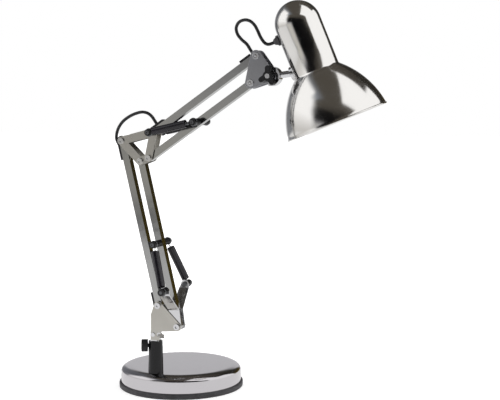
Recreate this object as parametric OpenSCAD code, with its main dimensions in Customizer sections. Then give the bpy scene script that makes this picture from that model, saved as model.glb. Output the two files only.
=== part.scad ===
// Balanced-arm desk lamp: round weighted base, two jointed parallelogram
// arms with sleeved tension springs, and a bell shade on a swivel stud.
// Frame: origin at the centre of the base's underside, +Z up, +X the way
// the arms lean, and the arms' plane parallel to XZ at y = stem_y.
// Points in the arms' plane are [u, z]: u runs along X from the stem's axis.

/* [Base] */
// Outer diameter of the rubber rim
rim_d = 165; // [160:1:180]
// Height of the rubber rim
rim_h = 7; // [6:0.5:8]
// How far the rubber rim stands out past the pressed base shell
rim_over = 2.5; // [2.4:0.1:3.5]
// Height of the shell's upright wall above the table
wall_top = 21.7; // [20:0.1:24]
// Height of the shell's flat top above the table
base_h = 29.2; // [28:0.1:33]
// Width of the rounding between the shell's flat top and its wall
round_w = 14.7; // [12:0.1:17]
// Thickness of the shell's sheet
shell_t = 1; // [0.8:0.1:1.4]
// Height of the iron weight
weight_h = 12; // [9:0.5:12]
// Thickness of the felt pad that the base stands on, with its rim
pad_t = 3; // [2.4:0.1:3.4]

/* [Socket] */
// Place of the stem's axis along X
stem_x = -9.5; // [-14:0.5:4]
// Distance of the arms' plane from the front of the shell's wall
stem_in = 20; // [19:0.5:28]
// Height of the socket tube above the base
socket_h = 41.8; // [38:0.2:46]
// Outer diameter of the socket tube at its top
socket_d = 18; // [16:0.2:19]
// Outer diameter of the socket tube at its foot
socket_foot_d = 19.5; // [18:0.1:22]
// Diameter of the stem pin that turns in the socket
pin_d = 10; // [9:0.1:11]
// Height of the thumb screw below the top of the socket
thumb_drop = 6.4; // [5.5:0.1:8]
// Diameter of the thumb knob
thumb_d = 16; // [13:0.5:17]
// Compass angle of the thumb screw, from +X towards +Y
thumb_turn = 202; // [150:1:270]

/* [Lower bracket] */
// Gap between the bracket's top and the socket, under the cheeks
foot_gap = 0.3; // [0.2:0.1:0.6]
// Place along u of the rear lower pivot
rear_u = 6.8; // [6.6:0.1:8]
// Height of the rear lower pivot
rear_z = 118; // [116:0.5:122]
// Way along u from the rear pivot to the front pivot
pair_u = 26.4; // [25:0.2:28]
// Drop from the rear pivot to the front pivot
pair_drop = 25.8; // [24:0.2:27]
// Place along u of the spring ears' pins
ear_u = 28; // [26:0.5:30]
// Height of the spring ears' pins
ear_z = 141.5; // [139:0.5:144]
// Distance from the arms' plane to the ears' lugs
ear_reach = 31; // [28:0.5:33]

/* [Arms] */
// Pivot to pivot length of the lower bars
lower_len = 216; // [205:1:230]
// Lean of the lower bars back from upright
lower_lean = 13.35; // [11:0.05:15]
// Pivot to pivot length of the upper bars
upper_len = 166.8; // [160:0.2:180]
// Rise of the upper bars above level
upper_rise = 34.3; // [31:0.1:36]
// Width of the bars across the arms' plane
bar_w = 10; // [9:0.2:10]
// Depth of the bars in the arms' plane
bar_depth = 9; // [8.4:0.2:9.2]
// Thickness of the bars' sheet
bar_t = 1; // [0.8:0.1:1.2]
// Clear width between a joint's two plates
plate_gap = 13; // [12.8:0.1:14]
// Thickness of the joint plates
plate_t = 1.2; // [1:0.1:1.5]
// Diameter of the pivot bolts
bolt_d = 5; // [4:0.1:5]
// Way along u from the rear elbow pivot to the under bar's pivot
under_u = 38; // [37:0.2:40]
// Drop from the rear elbow pivot to the under bar's pivot
under_drop = 21.5; // [20.5:0.1:22.5]
// Way along u from the under bar's pivot to the top bar's pivot
link_u = 7.2; // [6:0.2:9]
// Rise from the under bar's pivot to the top bar's pivot
link_rise = 32.8; // [31:0.2:35]
// Width of the elbow plates' strips
strip_w = 10.4; // [9.6:0.2:11]

/* [Springs] */
// Outer diameter of the spring sleeves
sleeve_d = 10; // [9.6:0.1:10.2]
// Wall of the spring sleeves
sleeve_t = 0.7; // [0.5:0.1:0.8]
// Outer diameter of the springs
spring_d = 6.8; // [6:0.1:7]
// Diameter of the springs' wire
wire_d = 1.2; // [1:0.1:1.3]
// Distance of the crossbar springs from the arms' plane
spring_side = 21; // [20.5:0.5:22]
// Distance of the ears' springs from the arms' plane
ear_spring_side = 40; // [39:0.5:41]
// Outer diameter of the ribbed spools
spool_d = 8.8; // [8.4:0.1:9]
// Way from the front lower pivot up to the lower crossbar
cross_at = 108.8; // [104:0.2:112]
// Way from the under bar's pivot to the upper crossbar
under_cross_at = 82; // [80:0.5:85]
// Length of the lower sleeves
lower_sleeve_len = 47; // [42:0.5:48]
// Length of the upper sleeves
upper_sleeve_len = 46.5; // [40:0.5:47]

/* [Head] */
// Way along u from the under bar's head pivot to the tilt axis
tilt_u = 25.6; // [25:0.2:28]
// Rise from the under bar's head pivot to the tilt axis
tilt_rise = 8; // [6:0.2:10]
// Outer radius of the tilt clamp
clamp_r = 11.8; // [11:0.1:12.5]
// Rise of the swivel stud above level
stud_rise = 7; // [4:0.5:10]
// Diameter of the swivel stud
stud_d = 8; // [7:0.1:9]
// Way along the stud from the tilt axis to the shade's axis
neck_reach = 57; // [56:0.5:60]
// Drop from the stud's line to the shade's shoulder, along the shade
neck_drop = 8.5; // [7:0.5:12]
// Lean of the shade's top back from upright
shade_lean = 21.5; // [15:0.5:25]
// Roll of the shade about the stud
shade_roll = 5; // [0:0.5:8]
// Outer diameter of the shade's neck
neck_d = 56; // [54:0.5:57]
// Length of the neck above the shoulder, dome left out
neck_len = 61; // [58:0.5:66]
// Diameter of the shade's mouth
mouth_d = 126; // [120:1:132]
// Length of the bell below the shoulder
bell_len = 65.5; // [62:0.5:68]
// Radius of the bell's curve
bell_curve_r = 105; // [96:1:120]
// Thickness of the shade's sheet
shade_t = 1; // [0.8:0.1:1.2]
// Height of the flex gland above the shoulder
gland_up = 52; // [48:0.5:54]
// Diameter of the bulb
bulb_d = 60; // [45:1:60]
// Thickness of the bulb's glass
bulb_t = 1; // [0.6:0.1:1.4]

/* [Flex] */
// Diameter of the flex
flex_d = 4; // [3.6:0.1:4]
// Height of the flex where it leaves the base
flex_out_z = 11; // [11:0.1:12]
// Place along X where the flex leaves the base
flex_out_x = 10; // [8:0.5:12]
// Length of the strain relief behind the base
relief_len = 20; // [20:0.5:22]
// Turns in each of the lead's two coil layers
coil_turns = 3; // [2:1:3]
// Step between the coil's turns
coil_step = 4.5; // [4.4:0.1:4.7]
// Radius of the coil's outermost turn
coil_r = 29.5; // [29:0.1:30]
// Step between the coil's two layers
coil_lift = 4.5; // [4.4:0.1:4.7]
// Length of the straight tail between the coil and the plug
cord_tail = 21; // [18:1:24]

/* [Hidden] */

$fn = 64;
// Running clearance of pins and bolts, all round
fit = 0.05;
// Clearance of the open pivots and of loose fits, all round
loose = 0.3;

rim_r = rim_d / 2;
shell_r = rim_r - rim_over;
flat_r = shell_r - round_w;
stem_y = stem_in - shell_r;
rim_w = rim_over + 5.5;
rim_lip = 2;
weight_r = shell_r - shell_t - 3.5;
weight_z = pad_t;
weight_top = weight_z + weight_h;
well_r = 15;
slot_w = 9;

socket_top = base_h + socket_h;
socket_ledge = base_h + 7;
tail_r = 6;
tail_bore_r = flex_d / 2 + 0.7;
tail_len = 7.6;
nut_h = 5.5;
nut_af = 17;
// The socket's nut sits against the shell where its outermost corner meets it
nut_corner = norm([stem_x, stem_y]) + nut_af / cos(30) / 2 - flat_r;
nut_top = wall_top + (base_h - shell_t - wall_top)
    * sqrt(1 - pow(max(0, nut_corner) / (shell_r - shell_t - flat_r), 2)) - fit;
pin_r = pin_d / 2;
thumb_z = socket_top - thumb_drop;
thumb_r = thumb_d / 2;
thumb_h = 8;
screw_r = 2.5;

bar_half = bar_w / 2;
gap_half = plate_gap / 2;
corner_proud = 0.05;
plate_out = gap_half + plate_t;
bolt_r = bolt_d / 2;
bolt_head_r = 4;
bolt_head_h = 2.2;
washer_r = 6.6;

// Pivots in the arms' plane, as [u, z]
lower_dir = [-sin(lower_lean), cos(lower_lean)];
upper_dir = [cos(upper_rise), sin(upper_rise)];
foot_rear = [rear_u, rear_z];
foot_front = foot_rear + [pair_u, -pair_drop];
elbow_rear = foot_rear + lower_len * lower_dir;
elbow_front = foot_front + lower_len * lower_dir;
elbow_under = elbow_rear + [under_u, -under_drop];
elbow_top = elbow_under + [link_u, link_rise];
head_under = elbow_under + upper_len * upper_dir;
head_top = elbow_top + upper_len * upper_dir;
tilt_axis = head_under + [tilt_u, tilt_rise];
ear_pin = [ear_u, ear_z];
cross_low = foot_front + cross_at * lower_dir;
cross_up = elbow_under + under_cross_at * upper_dir;

spool_r = spool_d / 2;
groove_r = spool_r - 0.6;
cross_r = 2.5;
spool_in = plate_out + 0.3;
spool_out = spring_side + 4;
sleeve_r = sleeve_d / 2;
sleeve_bore_r = sleeve_r - sleeve_t;
lower_sleeve_start = 6.5;
upper_sleeve_start = 5.5;
wire_r = wire_d / 2;
hook_r = groove_r + loose + wire_r;
spring_r = spring_d / 2;
spring_len = 34;
lower_hook_len = 8;
upper_hook_len = 5.4;

bracket_foot = socket_top + 2;
bracket_shoulder = bracket_foot + 11.5;
stem_head = [9, plate_gap - 0.04, 13.5];
spine_u = -3.2;
spine_t = 1;
spine_z = [88, 106];
cheek_r = 5.5;
notch_at = [7.4, bracket_foot + 7.5];
notch_r = 2.6;

ear_t = 1.2;
ear_pin_r = 2;
ear_tab_t = 1;
ear_left = ear_u - 7;
cheek_n = unit([pair_drop, pair_u]);
// The ears bend outwards 1.5 above the cheeks' slanted edge
ear_root_z = foot_rear[1] + cheek_r * cheek_n[1] + 1.5
    - (ear_left - foot_rear[0] - cheek_r * cheek_n[0]) * pair_drop / pair_u;
ear_bend_z = ear_z - 5;
ear_root_v = gap_half - ear_t / 2;
ear_splay = atan2(ear_reach - ear_root_v, ear_bend_z - ear_root_z);
ear_wing_len = (ear_bend_z - ear_root_z) / cos(ear_splay);

neck_r = neck_d / 2;
mouth_r = mouth_d / 2;
clamp_t = 1.4;
// The nut in the clamp sits where its corners meet the clamp's round inside
clamp_nut_af = 8.4;
clamp_nut_h = 3.4;
clamp_nut_at = sqrt(pow(clamp_r - clamp_t, 2) - pow(clamp_nut_af / cos(30) / 2, 2)) - clamp_nut_h - fit;
saddle_r = 8.7;
saddle_h = 2.6;
kink = shade_lean - stud_rise;
stud_end = 20.5;
bracket_leg_x = -neck_r + shade_t + 1;
bracket_leg_t = 1.5;
holder_r = 19;
holder_top_r = 15;
holder_bore = 28;
holder_mouth_z = 18;
holder_step_z = 38;
holder_top_z = 56;
bulb_r = bulb_d / 2;
bulb_centre_z = -29;
bulb_neck_r = 14;
gland_r = 6.5;
gland_hole_r = 5;
gland_len = 8.2;
gland_end = shade_point([-neck_r - gland_len, 0, gland_up]);
flex_r = flex_d / 2;

// Centre of the bell's curve, found from the neck, the mouth and the radius
bell_chord = [mouth_r - neck_r, -bell_len];
bell_half = norm(bell_chord) / 2;
bell_normal = [-bell_len, -(mouth_r - neck_r)] / norm(bell_chord);
bell_centre = [neck_r, 0] + bell_chord / 2
    + sqrt(bell_curve_r * bell_curve_r - bell_half * bell_half) * bell_normal;

// Where the flex leaves the base, and the slot that leads it there
exit_at = [flex_out_x, sqrt(shell_r * shell_r - flex_out_x * flex_out_x)];
slot_dir = unit(exit_at - [stem_x, stem_y]);
slot_turn = atan2(slot_dir[1], slot_dir[0]);
grommet_r = flex_r + 1.7;

// A point beside the bar from p to q: w[0] along it from p, w[1] out of its mouth
function on_bar(p, q, w) = let (d = unit(q - p)) p + w[0] * d + w[1] * [-d[1], d[0]];

// The flex's routes, chosen by hand: points [u, z], with the way across the
// arms' plane as a third number where there is one
flex_split = 85;
foot_route = [
    [0, flex_split], [0, 92], [0, 99], [0, 106], [-0.05, 111],
    on_bar(foot_rear, elbow_rear, [3, 6.4]) - [0, 4], on_bar(foot_rear, elbow_rear, [3, 6.4])
];
elbow_route = concat(
    [for (w = [[-1, 8.65], [2, 9.55]]) on_bar(foot_rear, elbow_rear, [lower_len + w[0], w[1]])],
    [for (w = [[-10.5, 4.1], [-9.9, 9.3], [-7.2, 16.4], [-1.1, 24.4], [8.1, 30.8],
        [18.1, 35], [27.5, 36.6], [34.5, 35], [39.9, 31]]) elbow_rear + w],
    [for (w = [[7, 12.5], [7, 9.5]]) on_bar(elbow_top, head_top, w)]
);
head_route = concat(
    [for (w = [[-3.8, 9.5], [-3.8, 12.5]]) on_bar(elbow_top, head_top, [upper_len + w[0], w[1]])],
    [for (w = [[-13.9, 13.8, -0.1], [-21.9, 20.8, -0.3], [-27.1, 27.5, -0.6], [-28.5, 34.5, -1],
        [-25.1, 40.9, -1.4], [-17.3, 43.9, -1.8], [-9.3, 42.3, -2.2], [-2.9, 37.1, -2.5]])
        concat(head_top, [0]) + w],
    [for (w = [[-20.7, 13.6, 0.7], [-17.1, 6.4, 0.5], [-13.8, 1.6, 0.3], [-11.3, -1, 0.2],
        [-7.8, -2.3, 0.1]]) gland_end + w],
    [for (way = [-4, 0, 6.2]) shade_point([way - neck_r - gland_len, 0, gland_up])]
);
coil_at = exit_at + [-30.5, 35.1];
coil_start = 60;
coil_end = 150;
loop_points = 24;
// Where the free lead leaves the strain relief, and its way from there to the coil
lead_start = concat(exit_at + relief_len * slot_dir, [flex_out_z]);
run_route = concat([lead_start, lead_start + flex_d * concat(slot_dir, [0])], [
    for (w = [[1.3, 9.2, 9], [1.8, 14.3, 6.2], [1.5, 19.4, 3.9], [0, 24.4, 2.5],
        [-2.9, 29.4, flex_r], [-6.8, 33.4, flex_r]]) [lead_start[0] + w[0], lead_start[1] + w[1], w[2]]
]);

module in_arm(p, v = 0) {
    translate([stem_x + p[0], stem_y + v, p[1]]) children();
}

// A flat plate in the arms' plane, from v1 to v2 across it
module arm_plate(v1, v2) {
    in_arm([0, 0], v2) rotate([90, 0, 0]) linear_extrude(v2 - v1) children();
}

// A round bar across the arms' plane
module cross_pin(p, v1, v2, r) {
    in_arm(p, v2) rotate([90, 0, 0]) cylinder(r = r, h = v2 - v1);
}

module tube(r_out, r_in, h) {
    difference() {
        cylinder(r = r_out, h = h);
        translate([0, 0, -1]) cylinder(r = r_in, h = h + 2);
    }
}

module hex(af, h) {
    cylinder(d = af / cos(30), h = h, $fn = 6);
}

// The straight part of a strip between two points
module limb(a, b, w) {
    d = b - a;
    translate(a) rotate(atan2(d[1], d[0])) translate([0, -w / 2]) square([norm(d), w]);
}

// A strip with round ends between two points
module strip(a, b, w) {
    translate(a) circle(d = w);
    translate(b) circle(d = w);
    limb(a, b, w);
}

// Stands children on p with their Z axis along d
module aim(p, d) {
    translate(p) rotate([0, acos(d[2] / norm(d)), atan2(d[1], d[0])]) children();
}

module ring(r, wire) {
    rotate_extrude() translate([r, 0]) circle(r = wire, $fn = 24);
}

function unit(a) = a / norm(a);
function tangent(p, i) = unit(p[min(i + 1, len(p) - 1)] - p[max(i - 1, 0)]);
function side_normals(p, i, last) = i >= len(p) ? [] :
    let (t = tangent(p, i), n = unit(last - (last * t) * t)) concat([n], side_normals(p, i + 1, n));

// One tube swept along points
module sweep(p, r, sides) {
    n = side_normals(p, 0, abs(tangent(p, 0)[1]) < 0.9 ? [0, 1, 0] : [0, 0, 1]);
    rings = [for (i = [0 : len(p) - 1], k = [0 : sides - 1])
        let (a = 360 * k / sides, t = tangent(p, i)) p[i] + r * (cos(a) * n[i] + sin(a) * cross(t, n[i]))];
    last = (len(p) - 1) * sides;
    skin = [for (i = [0 : len(p) - 2], k = [0 : sides - 1], half = [0, 1])
        let (a = i * sides + k, b = i * sides + (k + 1) % sides)
        half == 0 ? [a, b + sides, b] : [a, a + sides, b + sides]];
    first_cap = [for (k = [1 : sides - 2]) [0, k, k + 1]];
    last_cap = [for (k = [1 : sides - 2]) [last, last + k + 1, last + k]];
    polyhedron(points = rings, faces = concat(skin, first_cap, last_cap));
}

// A point of the shade's frame as [u, z, v]
function shade_point(q) = let (
    x = q[0] * cos(kink) - q[2] * sin(kink) + neck_reach,
    up = q[0] * sin(kink) + q[2] * cos(kink) + neck_r * sin(kink) - neck_drop * cos(kink),
    y = q[1] * cos(shade_roll) - up * sin(shade_roll),
    z = q[1] * sin(shade_roll) + up * cos(shade_roll)
) [tilt_axis[0] + x * cos(stud_rise) - z * sin(stud_rise),
    tilt_axis[1] + x * sin(stud_rise) + z * cos(stud_rise), y];

function in_room(route) = [for (p = route) [stem_x + p[0], stem_y + (len(p) > 2 ? p[2] : 0), p[1]]];

module flex(route) {
    color("#1b1b1d") sweep(route, flex_r, 8);
}

// Base

// Half outline of the shell, drawn in by t
function shell_outline(t) = concat(
    [[0, pad_t], [shell_r - t, pad_t]],
    [for (a = [0 : 6 : 90])
        [flat_r + (shell_r - t - flat_r) * cos(a), wall_top + (base_h - t - wall_top) * sin(a)]],
    [[0, base_h - t]]
);

module base_shell() {
    boss_r = 6;
    color("#c9cbcd") difference() {
        union() {
            rotate_extrude($fn = 128) difference() {
                polygon(shell_outline(0));
                translate([0, -0.01]) polygon(shell_outline(shell_t));
            }
            translate([0, 0, weight_top]) cylinder(r = boss_r, h = base_h - shell_t / 2 - weight_top);
        }
        translate([stem_x, stem_y, base_h - 3]) cylinder(r = tail_r + 0.1, h = 6);
        grommet_axis() translate([0, 0, -8]) cylinder(r = grommet_r + fit, h = 12);
    }
}

module base_rim() {
    color("#1d1d1f") rotate_extrude($fn = 128) difference() {
        union() {
            translate([rim_r - rim_w, 0]) square([rim_w - 1, rim_h]);
            translate([rim_r - 1.5, 1]) square([1.5, rim_h - 2]);
            translate([rim_r - 1.5, 1.5]) circle(r = 1.5, $fn = 32);
            translate([rim_r - 1.5, rim_h - 1.5]) circle(r = 1.5, $fn = 32);
            translate([weight_r - rim_lip, 0]) square([rim_r - rim_w - weight_r + rim_lip + 1, pad_t]);
        }
        translate([shell_r - shell_t - fit, pad_t]) square([shell_t + 2 * fit, rim_h]);
        translate([rim_r - rim_w - 1, pad_t]) square([weight_r + 1 - rim_r + rim_w, rim_h]);
        translate([weight_r - rim_lip - 1, pad_t]) square([rim_lip + 1.1, rim_h]);
    }
}

module base_weight() {
    slot_floor = flex_out_z - flex_r - 0.6;
    color("#4a4a4c") difference() {
        translate([0, 0, weight_z]) cylinder(r = weight_r, h = weight_h, $fn = 128);
        translate([stem_x, stem_y, weight_z - 1]) cylinder(r = well_r, h = weight_h + 2);
        translate([stem_x, stem_y, slot_floor]) rotate(slot_turn)
            translate([0, -slot_w / 2, 0]) cube([2 * shell_r, slot_w, weight_h]);
    }
}

module base_pad() {
    color("#2b2b2d") cylinder(r = weight_r - rim_lip - fit, h = pad_t, $fn = 128);
}

module grommet_axis() {
    translate([exit_at[0], exit_at[1], flex_out_z]) rotate([0, 90, slot_turn]) children();
}

module cable_grommet() {
    color("#1b1b1d") grommet_axis() difference() {
        union() {
            translate([0, 0, -4]) cylinder(r = grommet_r, h = 5);
            translate([0, 0, 0.6]) cylinder(r = grommet_r + 0.2, h = 2);
            translate([0, 0, 2.6]) cylinder(r1 = grommet_r, r2 = flex_r + 0.9, h = relief_len - 2.6);
        }
        translate([0, 0, -5]) cylinder(r = flex_r + fit, h = relief_len + 6);
    }
}

// Socket and stem

module socket_tube() {
    color("#151517") translate([stem_x, stem_y, 0]) difference() {
        union() {
            translate([0, 0, base_h]) cylinder(d1 = socket_foot_d, d2 = socket_d, h = socket_h);
            translate([0, 0, base_h - tail_len]) cylinder(r = tail_r, h = tail_len + 1);
        }
        translate([0, 0, socket_ledge]) cylinder(r = pin_r + fit, h = socket_h);
        translate([0, 0, base_h - tail_len - 1]) cylinder(r = tail_bore_r, h = socket_h);
        translate([0, 0, base_h - tail_len - 1])
            cylinder(r1 = tail_bore_r + 2.5, r2 = tail_bore_r, h = 6);
        translate([0, 0, thumb_z]) rotate([0, 90, thumb_turn]) cylinder(r = screw_r + fit, h = socket_d);
    }
}

module socket_nut() {
    color("#8f9194") translate([stem_x, stem_y, nut_top - nut_h]) difference() {
        hex(nut_af, nut_h);
        translate([0, 0, -1]) cylinder(r = tail_r + fit, h = nut_h + 2);
    }
}

module thumb_knob() {
    ribs = 18;
    face = socket_d / 2 + 1.2;
    // The screw is drawn backed off, so that the pin turns freely
    tip_gap = 2.8;
    color("#1a1a1c") translate([stem_x, stem_y, thumb_z]) rotate([0, 90, thumb_turn]) {
        difference() {
            translate([0, 0, face]) cylinder(r = thumb_r, h = thumb_h);
            for (k = [0 : ribs - 1])
                rotate(360 * k / ribs) translate([thumb_r + 0.5, 0, face - 1])
                    cylinder(r = 1, h = thumb_h + 2, $fn = 16);
            translate([0, 0, face + thumb_h - 1.2]) cylinder(r = thumb_r - 2.6, h = 2);
        }
        translate([0, 0, pin_r + tip_gap]) cylinder(r = screw_r, h = face - pin_r - tip_gap + 1);
    }
}

module stem_pin() {
    color("#b9bbbe") translate([stem_x, stem_y, 0]) difference() {
        union() {
            translate([0, 0, socket_ledge + loose]) cylinder(r = pin_r, h = bracket_foot - socket_ledge);
            translate([-stem_head[0] / 2, -stem_head[1] / 2, socket_top + foot_gap]) cube(stem_head);
        }
        translate([0, 0, socket_ledge - 1]) cylinder(r = flex_r + 0.5, h = 60);
        for (side = [-1, 1])
            translate([0, side * gap_half, bracket_foot + 7]) rotate([side * 90, 0, 0])
                translate([0, 0, -1]) cylinder(r = rivet_r + fit, h = rivet_in + 1.2);
    }
}

rivet_r = 1.6;
rivet_in = 2.6;

module stem_rivets() {
    color("#c9cbcd") for (side = [-1, 1])
        in_arm([0, bracket_foot + 7], side * gap_half) rotate([side * 90, 0, 0]) {
            translate([0, 0, -plate_t]) cylinder(r = rivet_r, h = plate_t + rivet_in);
            translate([0, 0, -plate_t - 1]) cylinder(r = rivet_r + 1.2, h = 1);
        }
}

// Lower bracket

module bracket_cheek() {
    difference() {
        union() {
            polygon([
                [spine_u, bracket_foot], [spine_u, spine_z[1]], foot_rear + [-cheek_r, 1],
                foot_rear + cheek_r * cheek_n, foot_front + cheek_r * cheek_n, foot_front + [0, -cheek_r],
                [10.4, bracket_shoulder], [8.5, bracket_shoulder - 2.4], [8.5, bracket_foot]
            ]);
            translate(foot_rear) circle(r = cheek_r);
            translate(foot_front) circle(r = cheek_r);
        }
        translate(notch_at) circle(r = notch_r);
        translate(foot_rear) circle(r = bolt_r + fit);
        translate(foot_front) circle(r = bolt_r + fit);
        translate([0, bracket_foot + 7]) circle(r = rivet_r + fit);
    }
}

module foot_bracket() {
    color("#c9cbcd") {
        arm_plate(-plate_out, -gap_half) bracket_cheek();
        arm_plate(gap_half, plate_out) bracket_cheek();
        in_arm([spine_u, spine_z[0]], -plate_out)
            cube([spine_t, 2 * plate_out, spine_z[1] - spine_z[0]]);
    }
}

// One spring ear; side is -1 near the front of the picture, 1 behind
module ear(side) {
    tab = side * (gap_half - ear_tab_t / 2);
    lug = side * ear_reach;
    color("#c4c6ca") {
        arm_plate(tab - ear_tab_t / 2, tab + ear_tab_t / 2) difference() {
            union() {
                translate(foot_front) circle(r = cheek_r);
                polygon([
                    foot_front + [-cheek_r, 0], [ear_left, ear_root_z + 0.6],
                    [ear_u + 8, ear_root_z + 0.6], foot_front + [cheek_r, 0]
                ]);
            }
            translate(foot_front) circle(r = bolt_r + fit);
        }
        in_arm([0, ear_root_z], side * ear_root_v) rotate([-side * ear_splay, 0, 0])
            translate([0, ear_t / 2, 0]) rotate([90, 0, 0]) linear_extrude(ear_t)
                polygon([[ear_left, 0], [ear_u + 8, 0], [ear_u + 5.5, ear_wing_len],
                    [ear_u - 8, ear_wing_len]]);
        arm_plate(lug - ear_t / 2, lug + ear_t / 2) difference() {
            union() {
                translate(ear_pin) circle(r = cheek_r);
                polygon([ear_pin + [-cheek_r, 0], [ear_u - 8, ear_bend_z - 0.8],
                    [ear_u + 5.5, ear_bend_z - 0.8], ear_pin + [cheek_r, 0]]);
            }
            translate(ear_pin) circle(r = ear_pin_r + fit);
        }
    }
}

module spring_ears() {
    ear(-1);
    ear(1);
}

// A bolt through a joint, its head on the near side and its nut on the far
module joint_bolt(p) {
    nut = 3;
    difference() {
        union() {
            cross_pin(p, -plate_out - bolt_head_h, -plate_out, bolt_head_r);
            cross_pin(p, -plate_out - 0.01, plate_out + nut + 0.8, bolt_r);
        }
        in_arm(p, -plate_out - bolt_head_h - 0.01) rotate([-90, 0, 0]) hex(3, 1.3);
    }
    in_arm(p, plate_out + nut) rotate([90, 0, 0]) difference() {
        hex(8, nut);
        translate([0, 0, -1]) cylinder(r = bolt_r + fit, h = nut + 2);
    }
}

module foot_bolts() {
    color("#d6d7d9") for (p = [foot_rear, foot_front]) joint_bolt(p);
}

module ear_pins() {
    head = 1.4;
    color("#d6d7d9") for (side = [-1, 1])
        in_arm(ear_pin, side * (ear_reach - ear_t / 2 - head)) rotate([-side * 90, 0, 0]) {
            cylinder(r = 3.4, h = head);
            cylinder(r = ear_pin_r, h = ear_spring_side + 6 - ear_reach + head);
        }
}

// A ribbed spool round a crossbar, with a smooth groove for the spring's hook
module spool(p, v1, v2, hook_v, bore, side) {
    h = v2 - v1;
    pitch = 2.2;
    in_arm(p, side * v1) rotate([-side * 90, 0, 0]) difference() {
        union() {
            cylinder(r = groove_r, h = h);
            for (z = [0 : pitch : h - 1.1])
                if (abs(z + 0.6 - (hook_v - v1)) > wire_r + 1.1)
                    translate([0, 0, z]) cylinder(r = spool_r, h = 1.2);
            translate([0, 0, h - 1.2]) cylinder(r = spool_r, h = 1.2);
        }
        translate([0, 0, -1]) cylinder(r = bore + fit, h = h + 2);
    }
}

module ear_spools() {
    color("#19191b") for (side = [-1, 1])
        spool(ear_pin, ear_reach + ear_t / 2 + 0.2, ear_spring_side + 5, ear_spring_side, ear_pin_r, side);
}

// Arms

// A bar's own frame: X from its pivot p to its pivot q, and Z out of its mouth
module bar_frame(p, q) {
    in_arm(p) rotate([0, -atan2(q[1] - p[1], q[0] - p[0]), 0]) children();
}

// A folded channel bar between two pivots, open on its +Z side
module channel(p, q, hole_p, hole_q, cross) {
    n = norm(q - p);
    half = bar_depth / 2;
    bar_frame(p, q) difference() {
        translate([0, bar_half, 0]) rotate([90, 0, 0]) linear_extrude(bar_w) strip([0, 0], [n, 0], bar_depth);
        translate([-bar_depth, -bar_half + bar_t, -half + bar_t])
            cube([n + 2 * bar_depth, bar_w - 2 * bar_t, bar_depth]);
        translate([0, bar_half + 1, 0]) rotate([90, 0, 0]) cylinder(r = hole_p, h = bar_w + 2);
        translate([n, bar_half + 1, 0]) rotate([90, 0, 0]) cylinder(r = hole_q, h = bar_w + 2);
        if (cross > 0)
            translate([cross, bar_half + 1, 0]) rotate([90, 0, 0]) cylinder(r = cross_r + fit, h = bar_w + 2);
    }
}

module rear_bar() {
    color("#b4b6b9") channel(foot_rear, elbow_rear, bolt_r + fit, bolt_r + fit, 0);
}

module front_bar() {
    color("#b4b6b9") channel(foot_front, elbow_front, bolt_r + fit, bolt_r + loose, cross_at);
}

module top_bar() {
    color("#b4b6b9") channel(elbow_top, head_top, cross_r + fit, eyelet_r + fit, 0);
}

module under_bar() {
    color("#b4b6b9") channel(elbow_under, head_under, bolt_r + fit, eyelet_r + loose, under_cross_at);
}

// A clip that keeps the flex in a bar's mouth: two rails on the walls' edges
// from outer to inner, a bridge over the flex at inner, and legs in the bar
module flex_clip(outer, inner) {
    rail_h = 3;
    slot_half = flex_r + 0.4;
    leg_out = bar_half - bar_t - fit;
    bridge = 2;
    legs = 12;
    way = inner > outer ? 1 : -1;
    edge = bar_depth / 2;
    for (side = [-1, 1]) {
        translate([min(outer, inner), side > 0 ? slot_half : -bar_half, edge])
            cube([abs(inner - outer), bar_half - slot_half, rail_h]);
        translate([inner - (way > 0 ? legs : 0), side > 0 ? slot_half : -leg_out, 0.8])
            cube([legs, leg_out - slot_half, edge]);
    }
    translate([inner - (way > 0 ? bridge : 0), -bar_half, edge]) cube([bridge, bar_w, rail_h]);
}

module rear_clips() {
    color("#141416") bar_frame(foot_rear, elbow_rear) {
        flex_clip(0, 18);
        flex_clip(lower_len - 3, lower_len - 24);
    }
}

module top_clips() {
    color("#141416") bar_frame(elbow_top, head_top) {
        flex_clip(-4, 18);
        flex_clip(upper_len - 6.4, upper_len - 22.6);
    }
}

module crossbar(p) {
    color("#d6d7d9") difference() {
        cross_pin(p, -spool_out - 1.2, spool_out + 1.2, cross_r);
        cross_pin(p, -spool_out - 2, -spool_out, 1.2);
    }
}

module front_crossbar() { crossbar(cross_low); }
module under_crossbar() { crossbar(cross_up); }
module elbow_crossbar() { crossbar(elbow_top); }

module spool_pair(p, inner) {
    color("#19191b") for (side = [-1, 1])
        spool(p, inner, spool_out, spring_side, cross_r, side);
}

module front_spools() { spool_pair(cross_low, bar_half); }
module under_spools() { spool_pair(cross_up, bar_half); }
module elbow_spools() { spool_pair(elbow_top, plate_out); }

// The corner at b of a window that keeps w away from the lines a-b and b-c
function inset(a, b, c, w) = let (d1 = unit(a - b), d2 = unit(c - b))
    b + w / sin(acos(d1 * d2) / 2) * unit(d1 + d2);

module elbow_outline() {
    at = [elbow_rear, elbow_top, elbow_under, elbow_front];
    difference() {
        union() {
            polygon(at);
            for (k = [0 : 3]) {
                translate(at[k]) circle(d = strip_w + 2 * corner_proud);
                limb(at[k], at[(k + 1) % 4], strip_w);
            }
        }
        polygon([for (k = [0 : 3]) inset(at[(k + 3) % 4], at[k], at[(k + 1) % 4], strip_w / 2)]);
        for (p = [elbow_rear, elbow_front, elbow_under]) translate(p) circle(r = bolt_r + fit);
        translate(elbow_top) circle(r = cross_r + fit);
    }
}

module elbow_plates() {
    color("#c2c2c0") {
        arm_plate(-plate_out, -gap_half) elbow_outline();
        arm_plate(gap_half, plate_out) elbow_outline();
    }
}

module elbow_bolts() {
    color("#d6d7d9") for (p = [elbow_rear, elbow_front, elbow_under]) joint_bolt(p);
}

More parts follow.
